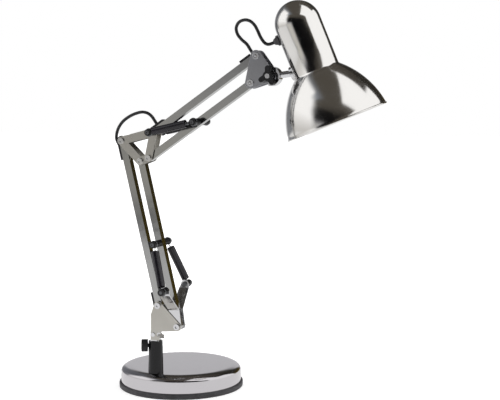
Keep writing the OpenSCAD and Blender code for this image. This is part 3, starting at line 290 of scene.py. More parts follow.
def new_piece(name, bm, finishes, body, nodes=(), sharp=35.0):
    """Makes bm a piece with smooth sides and crisp edges past sharp degrees, riding on body."""
    mesh = bpy.data.meshes.new(name)
    bm.to_mesh(mesh)
    bm.free()
    for finish in finishes:
        mesh.materials.append(finish)
    mesh.shade_smooth()
    mesh.set_sharp_from_angle(angle=math.radians(sharp))
    piece = bpy.data.objects.new(name, mesh)
    bpy.context.scene.collection.objects.link(piece)
    if body:
        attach(piece, body)
    if nodes:
        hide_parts(*nodes)
    return piece


def joined_faces(node):
    """A copy of a CAD node's triangles, with those that lie in one plane joined."""
    bm = bmesh.new()
    bm.from_mesh(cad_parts[node].data)
    bmesh.ops.remove_doubles(bm, verts=bm.verts, dist=SAME_POINT)
    bmesh.ops.dissolve_limit(bm, angle_limit=SAME_PLANE, verts=bm.verts, edges=bm.edges)
    return bm


def rounded(node, finish, body, radius, sharp=35.0, segments=2):
    """A copy of a CAD node with its edges rounded to radius metres."""
    piece = new_piece(node + "_piece", joined_faces(node), [finish], body, [node], sharp)
    edge = piece.modifiers.new("rounded_edges", "BEVEL")
    edge.width = radius
    edge.segments = segments
    edge.limit_method = "ANGLE"
    edge.angle_limit = math.radians(sharp)
    edge.harden_normals = True
    edge.use_clamp_overlap = True
    return piece


def spun(name, section, steps, place, finishes, body, nodes=(), sharp=35.0, closed=False):
    """A section of (radius, height) points in mm spun round Z. It starts and ends on the axis, or is closed."""
    bm = bmesh.new()
    points = [bm.verts.new((r * MM, 0, z * MM)) for r, z in section]
    lines = [bm.edges.new(pair) for pair in zip(points, points[1:])]
    if closed:
        lines.append(bm.edges.new((points[-1], points[0])))
    bmesh.ops.spin(bm, geom=points + lines, cent=(0, 0, 0), axis=(0, 0, 1), angle=math.tau,
                   steps=steps, use_merge=True)
    bmesh.ops.remove_doubles(bm, verts=bm.verts, dist=0.005 * MM)
    bmesh.ops.recalc_face_normals(bm, faces=bm.faces)
    bmesh.ops.transform(bm, matrix=place, verts=bm.verts)
    return new_piece(name, bm, finishes, body, nodes, sharp)


def smooth_path(points, step):
    """Points along a smooth curve through the given ones, about step apart, all in metres."""
    points = [Vector(p) for p in points]
    gaps = [(b - a).length for a, b in zip(points, points[1:])]
    slopes = [(points[1] - points[0]) / gaps[0]]
    for k in range(1, len(points) - 1):
        before, after = gaps[k - 1], gaps[k]
        slopes.append(((points[k] - points[k - 1]) / before * after
                       + (points[k + 1] - points[k]) / after * before) / (before + after))
    slopes.append((points[-1] - points[-2]) / gaps[-1])
    path = []
    for k, gap in enumerate(gaps):
        count = max(1, round(gap / step))
        for n in range(count):
            t = n / count
            path.append((2 * t**3 - 3 * t**2 + 1) * points[k] + (t**3 - 2 * t**2 + t) * gap * slopes[k]
                        + (3 * t**2 - 2 * t**3) * points[k + 1] + (t**3 - t**2) * gap * slopes[k + 1])
    return path + [points[-1]]


def rings_along(path):
    """A place for a ring at each point of a path, square to it and without twist."""
    count = len(path)
    places, side = [], None
    for k, at in enumerate(path):
        along = (path[min(k + 1, count - 1)] - path[max(k - 1, 0)]).normalized()
        if side is None:
            side = along.orthogonal()
        side = (side - side.dot(along) * along).normalized()
        turn = Matrix((side, along.cross(side), along)).transposed().to_4x4()
        places.append(Matrix.Translation(at) @ turn)
    return places


def add_tube(bm, places, radius, sides):
    """A closed tube of radius mm through rings at the given places."""
    ring = bmesh.ops.create_circle(bm, cap_ends=True, segments=sides, radius=radius * MM, matrix=places[0])
    edges = list({e for v in ring["verts"] for e in v.link_edges})
    for before, after in zip(places, places[1:]):
        grown = bmesh.ops.extrude_edge_only(bm, edges=edges)["geom"]
        verts = [g for g in grown if isinstance(g, bmesh.types.BMVert)]
        fresh = set(verts)
        edges = [g for g in grown if isinstance(g, bmesh.types.BMEdge) and set(g.verts) <= fresh]
        bmesh.ops.transform(bm, matrix=after @ before.inverted(), verts=verts)
    bmesh.ops.contextual_create(bm, geom=edges)


def tube_piece(name, places, body, nodes):
    """A length of flex through rings at the given places."""
    bm = bmesh.new()
    add_tube(bm, places, FLEX_R, bpy.context.scene.lamp_sizes.flex_sides)
    bmesh.ops.recalc_face_normals(bm, faces=bm.faces)
    return new_piece(name, bm, [finish("flex_sheath")], body, nodes, 50.0)


# Settings that a user would change

def colour_property(name, description, code):
    return FloatVectorProperty(name=name, description=description, subtype="COLOR", size=3,
                               min=0.0, max=1.0, default=linear(code))


def length_property(name, description, mm):
    return FloatProperty(name=name, description=description, unit="LENGTH", min=0.0, default=mm * MM)


class LampSizes(PropertyGroup):
    """Sizes of the visible detail"""
    bar_edge: length_property("Bar edges", "Radius of the folded bars' edges", 0.35)
    plate_edge: length_property("Plate edges", "Radius of the stamped plates' edges", 0.3)
    small_edge: length_property("Small edges", "Radius of the edges of bolts, clips and spools", 0.3)
    knob_edge: length_property("Knob edges", "Radius of the moulded knobs' edges", 1.0)
    wire: length_property("Spring wire", "Diameter of the springs' wire", 1.2)
    coil: length_property("Spring coil", "Outer diameter of the springs, kept inside their sleeves", 4)
    coil_length: length_property("Spring length", "Length of each spring's coil", 34)
    turns: IntProperty(name="Spring turns", description="Turns of wire in each spring", default=24, min=4)
    flex_sides: IntProperty(name="Flex sides", description="Sides of the flex's round section",
                            default=12, min=6)
    lead_length: length_property("Lead length", "Length of the free lead behind the base", 862)


class LampColours(PropertyGroup):
    """Colours of the finishes"""
    shade: colour_property("Shade", "Reflection of the shade's chrome", "#f3f1ee")
    base: colour_property("Base", "Reflection of the base's chrome", "#d3d0d3")
    bars: colour_property("Bars", "Reflection of the bars' plate", "#b4b4b3")
    hardware: colour_property("Hardware", "Reflection of bolts, pins and stud", "#e2e2e4")
    plates: colour_property("Plates", "Reflection of the bracket and elbow plates", "#ccc9c2")
    head_plates: colour_property("Head plates", "Reflection of the head plates", "#c6c7cc")
    rubber: colour_property("Rubber", "Rim and strain relief", "#2c2b2d")
    enamel: colour_property("Socket", "Gloss enamel of the socket", "#0e0e11")
    plastic: colour_property("Plastic", "Knobs, clips and spools", "#121214")
    sleeves: colour_property("Sleeves", "Sleeves over the springs", "#131217")
    flex: colour_property("Flex", "Sheath of the flex", "#141416")


def finish(name):
    return bpy.data.materials[name]


class DESKLAMP_OT_stage(Operator):
    """Camera, floor, lights and the cards that the metal mirrors"""
    bl_idname = "desklamp.stage"
    bl_label = "Stage"

    def card(self, name, centre, across, up, colours, fade, soft):
        """A glowing card that only mirrors see: its colours paint the light and shade of a room into the
        metal's reflections.
        Across and up are its half sizes as vectors in metres. It runs from the first colour to the second
        between the shares of up in fade, and soft is how far its edges fade out, in metres, at across's start
        and end and at up's start and end."""
        bm = bmesh.new()
        bmesh.ops.create_grid(bm, x_segments=1, y_segments=1, size=1)
        place = Matrix((across, up, across.cross(up).normalized())).transposed().to_4x4()
        bmesh.ops.transform(bm, matrix=Matrix.Translation(centre) @ place, verts=bm.verts)
        mesh = bpy.data.meshes.new(name)
        bm.to_mesh(mesh)
        bm.free()
        material, tree, out, spot = new_finish(name)
        from_centre = add(tree, "ShaderNodeVectorMath", {1: centre}, {0: spot}, operation="SUBTRACT").outputs[0]
        cover = None
        for side, (start, end) in ((across, soft[:2]), (up, soft[2:])):
            share = add(tree, "ShaderNodeVectorMath", {1: side / side.length_squared}, {0: from_centre},
                        operation="DOT_PRODUCT").outputs["Value"]
            for edge, width in ((-1.0, start), (1.0, -end)):
                fading = add(tree, "ShaderNodeMapRange",
                             {"From Min": edge, "From Max": edge + width / side.length},
                             {"Value": share}, interpolation_type="SMOOTHSTEP").outputs["Result"]
                cover = fading if cover is None else add(tree, "ShaderNodeMath", {}, {0: cover, 1: fading},
                                                         operation="MULTIPLY").outputs[0]
        # share is now the one along up
        tint = add(tree, "ShaderNodeMixRGB", {"Color1": opaque(linear(colours[0])),
                                              "Color2": opaque(linear(colours[1]))},
                   {"Fac": ranged(tree, share, 0.0, 1.0, *fade)})
        glow = add(tree, "ShaderNodeEmission", {"Strength": 1.0}, {"Color": tint.outputs["Color"]})
        clear = add(tree, "ShaderNodeBsdfTransparent")
        both = add(tree, "ShaderNodeMixShader", {}, {0: cover, 1: clear.outputs[0], 2: glow.outputs[0]})
        tree.links.new(both.outputs[0], out.inputs["Surface"])
        mesh.materials.append(material)
        card = bpy.data.objects.new(name, mesh)
        bpy.context.scene.collection.objects.link(card)
        card.visible_camera = False
        card.visible_diffuse = False
        card.visible_shadow = False

    def lamp(self, name, at, target, size, power):
        light = bpy.data.lights.new(name, "AREA")
        light.shape = "RECTANGLE"
        light.size, light.size_y = size
        light.energy = power
        item = bpy.data.objects.new(name, light)
        item.location = at
        item.rotation_euler = (Vector(target) - Vector(at)).to_track_quat("-Z", "Y").to_euler()
        item.visible_glossy = False
        bpy.context.scene.collection.objects.link(item)

    def floor(self):
        bm = bmesh.new()
        bmesh.ops.create_grid(bm, x_segments=1, y_segments=1, size=12)
        mesh = bpy.data.meshes.new("studio_floor")
        bm.to_mesh(mesh)
        bm.free()
        material, tree, out, spot = new_finish("studio_floor")
        paint = add(tree, "ShaderNodeBsdfDiffuse", {"Color": opaque(linear("#e9e9e9"))})
        path = add(tree, "ShaderNodeLightPath")
        far = add(tree, "ShaderNodeVectorMath", {}, {0: spot}, operation="LENGTH").outputs["Value"]
        seen = add(tree, "ShaderNodeMath", {}, {0: path.outputs["Is Camera Ray"],
                                                1: path.outputs["Is Transmission Ray"]}, operation="MAXIMUM")
        near_to_far = ranged(tree, far, FLOOR_LIFT, 1.0, 0.15, 0.7)
        lift = add(tree, "ShaderNodeMath", {}, {0: seen.outputs[0], 1: near_to_far}, operation="MULTIPLY")
        glow = add(tree, "ShaderNodeEmission", {}, {"Strength": lift.outputs[0]})
        lit = add(tree, "ShaderNodeAddShader", {}, {0: paint.outputs[0], 1: glow.outputs[0]})
        # mirrors see the floor as a glow, painted dimmer with distance
        mirrored = add(tree, "ShaderNodeEmission", {}, {"Strength": ranged(tree, far, 0.85, 0.7, 0.2, 2.0)})
        both = add(tree, "ShaderNodeMixShader", {}, {0: path.outputs["Is Glossy Ray"], 1: lit.outputs[0],
                                                     2: mirrored.outputs[0]})
        tree.links.new(both.outputs[0], out.inputs["Surface"])
        mesh.materials.append(material)
        floor = bpy.data.objects.new("studio_floor", mesh)
        bpy.context.scene.collection.objects.link(floor)

    def world(self):
        world = bpy.data.worlds.new("studio")
        world.use_nodes = True
        tree = world.node_tree
        tree.nodes.clear()
        path = add(tree, "ShaderNodeLightPath")
        seen = add(tree, "ShaderNodeMath", {}, {0: path.outputs["Is Camera Ray"],
                                                1: path.outputs["Is Glossy Ray"]}, operation="MAXIMUM")
        seen = add(tree, "ShaderNodeMath", {}, {0: seen.outputs[0], 1: path.outputs["Is Transmission Ray"]},
                   operation="MAXIMUM")
        strength = ranged(tree, seen.outputs[0], 0.45, 1.0, 0.0, 1.0)
        sky = add(tree, "ShaderNodeBackground", {"Color": (1, 1, 1, 1)}, {"Strength": strength})
        out = add(tree, "ShaderNodeOutputWorld")
        tree.links.new(sky.outputs[0], out.inputs["Surface"])
        bpy.context.scene.world = world

    def execute(self, context):
        scene = context.scene
        camera = bpy.data.objects.new("camera", bpy.data.cameras.new("camera"))
        camera.data.lens = CAMERA_LENS
        camera.data.sensor_width = 36
        camera.data.clip_start, camera.data.clip_end = 0.05, 50
        camera.location = CAMERA_AT * MM
        camera.rotation_euler = CAMERA_DIR.to_track_quat("-Z", "Y").to_euler()
        scene.collection.objects.link(camera)
        scene.camera = camera
        scene.view_settings.view_transform = "Standard"
        self.floor()
        self.world()
        # the lamp's middle and the room's height over it, in metres
        lamp = Vector((0.05, -0.06, 0.3))
        ceiling, wall_top = lamp + Vector((0, 0, 2.3)), 2.65
        back = Vector((-CAMERA_DIR.x, -CAMERA_DIR.y, 0)).normalized()
        right = Vector((-back.y, back.x, 0))

        def spot(turn, way, height):
            """A place at a turn in degrees from the camera's side, to the right, seen from the lamp."""
            a = math.radians(turn)
            return Vector((lamp.x, lamp.y, height)) + way * (math.cos(a) * back + math.sin(a) * right)

        def wall(name, turn, way, half, foot, head, colours, fade, soft):
            """An upright card square to the lamp, from foot to head."""
            a = math.radians(turn)
            across = half * (math.cos(a) * right - math.sin(a) * back)
            self.card(name, spot(turn, way, (foot + head) / 2), across, Vector((0, 0, (head - foot) / 2)),
                      colours, fade, soft)

        # the dark room behind the camera, black at its foot and brown towards its ceiling
        wall("room_foot", 0, 2.3, 3.4, -0.15, 1.3, ("#09090b", "#171616"), (-0.2, 0.9),
             (0.6, 0.05, 0.2, 0.02))
        wall("room_foot_left", -38, 1.75, 0.95, -0.05, 1.3, ("#09090b", "#171616"), (-0.2, 0.9),
             (1.0, 0.1, 0.1, 0.1))
        wall("room_head", -14, 2.3, 3.1, 0.75, wall_top, ("#171616", "#4e4a44"), (-0.6, 0.3),
             (1.6, 0.08, 0.02, 0.02))
        # the grey board at the front left, which the flat plates mirror
        wall("grey_board", -41, 1.6, 0.5, 0.06, 0.7, ("#c4c2bc", "#a4a4a8"), (-0.4, 0.6),
             (0.35, 0.35, 0.1, 0.3))
        # the lit side of the room on the left, brighter upwards
        wall("left_side", -89, 2.3, 1.7, -0.1, 1.2, ("#c4c2bf", "#ffffff"), (-0.8, 0.5),
             (0.1, 0.6, 0.02, 0.3))
        # the unlit ceiling, with the right soft box let into it, and its parts on the left and behind the lamp
        self.card("ceiling", ceiling - 0.85 * right, -2.45 * back, 1.4 * right,
                  ("#7d828a", "#4e4a44"), (-0.9, -0.2), (0.02, 0.02, 0.7, 0.05))
        self.card("ceiling_left", lamp + Vector((0, 0, 2.31)) + 1.65 * back - 2.5 * right,
                  -0.8 * back, 1.0 * right, ("#8a9099", "#6f737a"), (-1, 1), (0.02, 0.5, 1.5, 0.1))
        self.card("ceiling_behind", ceiling - 1.4 * back + 1.4 * right,
                  -1.1 * back, 1.1 * right, ("#4e4a44", "#33302c"), (-1, 1), (0.15, 0.05, 0.02, 0.3))
        # the dark back of the room on both sides of the backdrop
        wall("room_back_right", 144, 2.4, 0.9, -0.1, wall_top, ("#4d4118", "#2e2c28"), (-0.75, -0.1),
             (0.06, 0.3, 0.05, 0.02))
        wall("room_back_left", -144, 2.4, 0.9, -0.1, wall_top, ("#7e8084", "#5f6165"), (-0.8, 0.6),
             (0.3, 0.06, 0.05, 0.02))
        # a dark post at the back left
        wall("left_post", -119, 2.2, 0.1, -0.1, wall_top, ("#26262a", "#26262a"), (-1, 1),
             (0.03, 0.03, 0.05, 0.02))
        # the backdrop, in the shade where the base's flat top mirrors it, and the dark wall over it
        wall("backdrop", 180, 2.45, 1.1, -0.1, wall_top, ("#c9c9cb", "#3a3833"), (-0.3, 0.1),
             (0.25, 0.25, 0.05, 0.02))
        self.lamp("soft_box_left", spot(-95, 1.9, 1.0), lamp, (1.1, 1.1), 24)
        self.lamp("soft_box_right", spot(87, 1.7, 1.4), lamp, (1.2, 1.2), 24)
        return {"FINISHED"}


class DESKLAMP_OT_finishes(Operator):
    """Makes every finish"""
    bl_idname = "desklamp.finishes"
    bl_label = "Finishes"

    def execute(self, context):
        make_finishes(context.scene.lamp_colours)
        return {"FINISHED"}


def coil_point(share):
    """A point of the lead's coil: two layers, wound inwards and then back out on top."""
    angle = math.radians(COIL_START + share * 360 * COIL_TURNS)
    r = COIL_R - (1 - abs(2 * share - 1)) * 2.5 * COIL_STEP
    climb = max(0.0, min(1.0, (share - 0.5) * COIL_TURNS / 0.5 + 0.5))
    return Vector((COIL_AT.x + r * math.cos(angle), COIL_AT.y + r * math.sin(angle),
                   FLEX_R + climb * COIL_LIFT))


def coil_heading(degrees):
    return Vector((-math.sin(math.radians(degrees)), math.cos(math.radians(degrees)), 0))


class DESKLAMP_OT_lead(Operator):
    """The free lead behind the base, in its coil, with the plug"""
    bl_idname = "desklamp.lead"
    bl_label = "Lead and plug"

    def execute(self, context):
        first, last = coil_heading(COIL_START), coil_heading(COIL_START + 360 * COIL_TURNS)
        start = FLEX_OUT + RELIEF_LEN * SLOT_DIR
        coil = [coil_point(k / COIL_STEPS) for k in range(COIL_STEPS + 1)]
        coil_first, coil_last = coil[0] - 4 * first, coil[-1] + 4 * last
        plug_at = coil_last + PLUG_TAIL * last
        route = [start, start + 4 * SLOT_DIR]
        route += [Vector((start.x + x, start.y + y, z)) for x, y, z in (
            (1.3, 9.2, 9), (1.8, 14.3, 6.2), (1.5, 19.4, 3.9), (0, 24.4, 2.5),
            (-2.9, 29.4, 2), (-6.8, 33.4, 2))]
        route += [coil_first - 4 * first, coil_first] + coil
        route += [coil_last, coil_last + PLUG_TAIL / 2 * last, plug_at]
        path = smooth_path([p * MM for p in route], 3 * MM)
        lead = tube_piece("free_lead", rings_along(path), "base", ["lead_run", "lead_coil", "lead_tail"])
        plug = self.plug(plug_at, last)
        relief = self.plug_relief(plug_at, last)
        return {"FINISHED"}

    def plug(self, at, heading):
        """The CAD plug rounded off, with grip ribs on its sides and bright pins."""
        bm = joined_faces("plug")
        for face in bm.faces:
            ahead = (face.calc_center_median() / MM - at).dot(heading)
            face.material_index = 1 if ahead > PLUG_LEN else 0
        aside = Vector((-heading.y, heading.x, 0))
        for side in (-1, 1):
            for k in range(5):
                rib = at + (12.5 + 2.6 * k) * heading + side * (8.6 + 1.82 * k) * aside
                turn = Matrix((heading, aside, Vector((0, 0, 1)))).transposed().to_4x4()
                size = Matrix.Diagonal((1.1 * MM, 2.2 * MM, 9.5 * MM, 1))
                bmesh.ops.create_cube(bm, size=1.0, matrix=Matrix.Translation(rib * MM) @ turn @ size)
        piece = new_piece("plug_body", bm, [finish("moulded_plug"), finish("bright_hardware")],
                          "base", ["plug"])
        edge = piece.modifiers.new("rounded_edges", "BEVEL")
        edge.width, edge.segments, edge.limit_method = 0.5 * MM, 3, "ANGLE"
        edge.angle_limit = math.radians(35)
        edge.harden_normals = True
        return piece

    def plug_relief(self, at, heading):
        """The ribbed, tapered sleeve where the lead enters the plug."""
        length, ribs = 12.0, 4
        section = [(FLEX_R + 0.02, -length), (FLEX_R + 0.7, -length)]
        for k in range(ribs):
            z, r = -length + (k + 0.5) * length / ribs, FLEX_R + 0.8 + 0.45 * k
            section += [(r, z - 0.9), (r + 0.35, z - 0.5), (r + 0.35, z + 0.5), (r, z + 0.9)]
        section += [(FLEX_R + 2.6, 1.0), (FLEX_R + 0.02, 1.0)]
        place = Matrix.Translation(at * MM) @ heading.to_track_quat("Z", "Y").to_matrix().to_4x4()
        return spun("plug_relief", section, 32, place, [finish("moulded_plug")], "base", (), 35, True)


class DESKLAMP_OT_flex(Operator):
    """The flex in the lamp, its strain relief and its gland"""
    bl_idname = "desklamp.flex"
    bl_label = "Flex"

    def stretch(self, name, route, body, nodes, step=3.0):
        """A length of flex that rides on one body."""
        return tube_piece(name, rings_along(smooth_path(route, step * MM)), body, nodes)

    def across(self, name, route, cuts, bodies, node):
        """A loop over joints, cut at the given points into one length for each pair of neighbouring bodies,
        none of them riding on a body.
        """
        path = smooth_path(route, 2 * MM)
        places = rings_along(path)
        nearest = [min(range(len(path)), key=lambda k: (path[k] - cut).length) for cut in cuts]
        marks = [0] + nearest + [len(path) - 1]
        for k, (a, b) in enumerate(zip(bodies, bodies[1:])):
            first, last = marks[k], marks[k + 1]
            piece = tube_piece(f"{name}_{k + 1}", places[first:last + 1], None, [node])
            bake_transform(piece)

    def execute(self, context):
        def beside_stem(way, z):
            return Vector((STEM[0], STEM[1], z)) + way * SLOT_DIR

        bend_r = 16
        inside = [beside_stem(0, z) for z in (85, 70, 50, 38, 27)]
        for degrees in range(15, 91, 15):
            a = math.radians(degrees)
            inside.append(beside_stem(bend_r * (1 - math.cos(a)), FLEX_OUT.z + bend_r * (1 - math.sin(a))))
        inside += [beside_stem(way, FLEX_OUT.z) for way in range(28, 136, 12)]
        inside += [FLEX_OUT, FLEX_OUT + RELIEF_LEN * SLOT_DIR]
        self.stretch("flex_in_base", [p * MM for p in inside], "base", ["flex_base"], 6)
        join = on_bar(FOOT_REAR, 3, 6.4, LOWER_DIR)
        foot = [(0, 85), (0, 92), (0, 99), (0, 106), (-0.05, 111), (join[0], join[1] - 4), join]
        self.across("flex_at_foot", [in_arms(p) for p in foot], [], ["bracket", "rear_arm"], "flex_foot")
        lower = [join, (join[0], join[1] + 3)]
        lower += [on_bar(FOOT_REAR, *p, LOWER_DIR) for p in (
            (11, 4.3), (16, 2.3), (22, 0.7), (29, -0.2), (45, -0.4), (108, -0.4), (171, -0.4), (180, -0.2),
            (188, 0.9), (195, 2.2), (201, 4), (207, 6.1), (212, 7.75), (215, 8.65))]
        self.stretch("flex_on_lower_bar", [in_arms(p) for p in lower], "rear_arm", ["flex_lower"])
        elbow = [on_bar(FOOT_REAR, 215, 8.65, LOWER_DIR), on_bar(FOOT_REAR, 218, 9.55, LOWER_DIR)]
        elbow += [ELBOW_REAR + Vector(p) for p in (
            (-10.5, 4.1), (-9.9, 9.3), (-7.2, 16.4), (-1.1, 24.4), (8.1, 30.8),
            (18.1, 35), (27.5, 36.6), (34.5, 35), (39.9, 31))]
        elbow += [on_bar(ELBOW_TOP, 7, 12.5, UPPER_DIR), on_bar(ELBOW_TOP, 7, 9.5, UPPER_DIR)]
        self.across("flex_over_elbow", [in_arms(p) for p in elbow], [in_arms(elbow[6])],
                    ["rear_arm", "elbow", "top_arm"], "flex_elbow")
        upper = [on_bar(ELBOW_TOP, *p, UPPER_DIR) for p in (
            (7, 9.5), (7, 7.6), (8.07, 3.6), (11, 0.67), (15, -0.4), (45, -0.4), (83.4, -0.4), (121.8, -0.4),
            (155, -0.4), (159, 0.67), (161.93, 3.6), (163, 7.6), (163, 9.5))]
        self.stretch("flex_on_upper_bar", [in_arms(p) for p in upper], "top_arm", ["flex_upper"])
        # the loop's two legs lie side by side, so that they pass when the head tilts up
        head = [on_bar(ELBOW_TOP, 163, 9.5, UPPER_DIR), on_bar(ELBOW_TOP, 163, 12.5, UPPER_DIR)]
        head += [(HEAD_TOP.x + u, HEAD_TOP.y + z, v) for u, z, v in (
            (-13.9, 13.8, 0.2), (-21.9, 20.8, 0.5), (-27.1, 27.5, 0.6), (-28.5, 34.5, 0.3),
            (-25.1, 40.9, -0.4), (-17.3, 43.9, -1.5), (-9.3, 42.3, -2.8), (-2.9, 37.1, -4))]
        head = [in_arms(p) for p in head]
        gland = [shade_place() @ (Vector((way - NECK_R - GLAND_LEN, 0, GLAND_UP)) * MM)
                 for way in (-4, 0, 6.2)]
        head += [gland[1] + Vector((u, v, z)) * MM for u, z, v in (
            (-20.7, 13.6, -1.4), (-17.1, 6.4, -1.7), (-13.8, 1.6, -1.7), (-11.3, -1, -1.4), (-7.8, -2.3, -0.8))]
        self.across("flex_to_head", head + gland, [head[4], head[9]],
                    ["top_arm", "head_bracket", "clamp", "head"], "flex_head")
        self.strain_relief()
        rounded("flex_gland", finish("moulded_rubber"), "head", 0.3 * MM)
        return {"FINISHED"}

    def strain_relief(self):
        """Ribbed rubber sleeve where the flex leaves the base."""
        bore, ribs = FLEX_R + 0.05, 6
        section = [(bore, -4), (3.7, -4), (3.7, 0.6), (3.95, 0.8), (3.95, 2.4), (3.7, 2.6)]
        for k in range(ribs):
            z = 3.4 + 2.7 * k
            r = 3.7 - 0.8 * (z - 2.6) / (RELIEF_LEN - 2.6)
            section += [(r - 0.25, z), (r, z + 0.4), (r, z + 1.5), (r - 0.25, z + 1.9)]
        section += [(FLEX_R + 0.6, RELIEF_LEN - 0.4), (FLEX_R + 0.3, RELIEF_LEN), (bore, RELIEF_LEN)]
        place = Matrix.Translation(FLEX_OUT * MM) @ SLOT_DIR.to_track_quat("Z", "Y").to_matrix().to_4x4()
        spun("strain_relief", section, 40, place, [finish("moulded_rubber")], "base",
             ["cable_grommet"], 35, True)


class DESKLAMP_OT_base(Operator):
    """The weighted base"""
    bl_idname = "desklamp.base"
    bl_label = "Base"

    def execute(self, context):
        sheet, steps = 1.0, 15

        def shoulder(t):
            """The rounded edge between wall and top, t inside the outer face."""
            return [(FLAT_R + (BASE_R - t - FLAT_R) * math.cos(a),
                     WALL_TOP + (BASE_TOP - t - WALL_TOP) * math.sin(a))
                    for a in (math.pi / 2 * k / steps for k in range(steps + 1))]

        section = [(0, BASE_TOP - sheet), *shoulder(sheet)[::-1], (BASE_R - sheet, BASE_FOOT),
                   (BASE_R, BASE_FOOT), *shoulder(0), (0, BASE_TOP)]
        spun("base_cover", section, 128, Matrix(), [finish("base_chrome")], "base",
             ["base_shell"], 50)
        rounded("base_rim", finish("moulded_rubber"), "base", 0.2 * MM)
        rounded("base_weight", finish("cast_iron"), "base", 0.4 * MM)
        rounded("base_pad", finish("pressed_felt"), "base", 0.3 * MM)
        return {"FINISHED"}


class DESKLAMP_OT_socket(Operator):
    """Socket tube, thumb screw and stem pin"""
    bl_idname = "desklamp.socket"
    bl_label = "Socket and stem"

    def execute(self, context):
        sizes = context.scene.lamp_sizes
        rounded("socket_tube", finish("gloss_enamel"), "base", 0.8 * MM)
        rounded("socket_nut", finish("satin_nickel"), "base", sizes.small_edge)
        rounded("thumb_knob", finish("moulded_knob"), "thumb_screw", 0.4 * MM)
        rounded("stem_pin", finish("bright_hardware"), "bracket", sizes.small_edge)
        rounded("stem_rivets", finish("bright_hardware"), "bracket", 0.4 * MM)
        return {"FINISHED"}


class DESKLAMP_OT_bracket(Operator):
    """Lower bracket with its spring ears"""
    bl_idname = "desklamp.bracket"
    bl_label = "Lower bracket"

    def execute(self, context):
        sizes = context.scene.lamp_sizes
        rounded("foot_bracket", finish("satin_nickel"), "bracket", sizes.plate_edge)
        rounded("spring_ears", finish("bright_hardware"), "bracket", sizes.plate_edge)
        rounded("foot_bolts", finish("bright_hardware"), "bracket", sizes.small_edge)
        rounded("ear_pins", finish("dull_steel"), "bracket", sizes.small_edge)
        rounded("ear_spools", finish("moulded_plastic"), "bracket", 0.2 * MM)
        return {"FINISHED"}


class DESKLAMP_OT_arms(Operator):
    """The four folded bars with their clips and crossbars"""
    bl_idname = "desklamp.arms"
    bl_label = "Arms"

    def execute(self, context):
        sizes = context.scene.lamp_sizes
        for node, body in (("rear_bar", "rear_arm"), ("front_bar", "front_arm"), ("top_bar", "top_arm"),
                           ("under_bar", "under_arm")):
            rounded(node, finish("bar_chrome"), body, sizes.bar_edge, 35, 3)
        for node, body in (("front_crossbar", "front_arm"), ("under_crossbar", "under_arm")):
            rounded(node, finish("dull_steel"), body, sizes.small_edge)
        for node, body in (("rear_clips", "rear_arm"), ("top_clips", "top_arm")):
            rounded(node, finish("moulded_plastic"), body, sizes.small_edge)
        for node, body in (("front_spools", "front_arm"), ("under_spools", "under_arm")):
            rounded(node, finish("moulded_plastic"), body, 0.2 * MM)
        return {"FINISHED"}


class DESKLAMP_OT_elbow(Operator):
    """The elbow's plates, bolts and washers"""
    bl_idname = "desklamp.elbow"
    bl_label = "Elbow"

    def execute(self, context):
        sizes = context.scene.lamp_sizes
        rounded("elbow_plates", finish("satin_nickel"), "elbow", sizes.plate_edge)
        rounded("elbow_bolts", finish("bright_hardware"), "elbow", sizes.small_edge)
        rounded("elbow_crossbar", finish("dull_steel"), "elbow", sizes.small_edge)
        rounded("elbow_washers", finish("moulded_plastic"), "elbow", 0.2 * MM)
        rounded("elbow_spools", finish("moulded_plastic"), "elbow", 0.2 * MM)
        return {"FINISHED"}


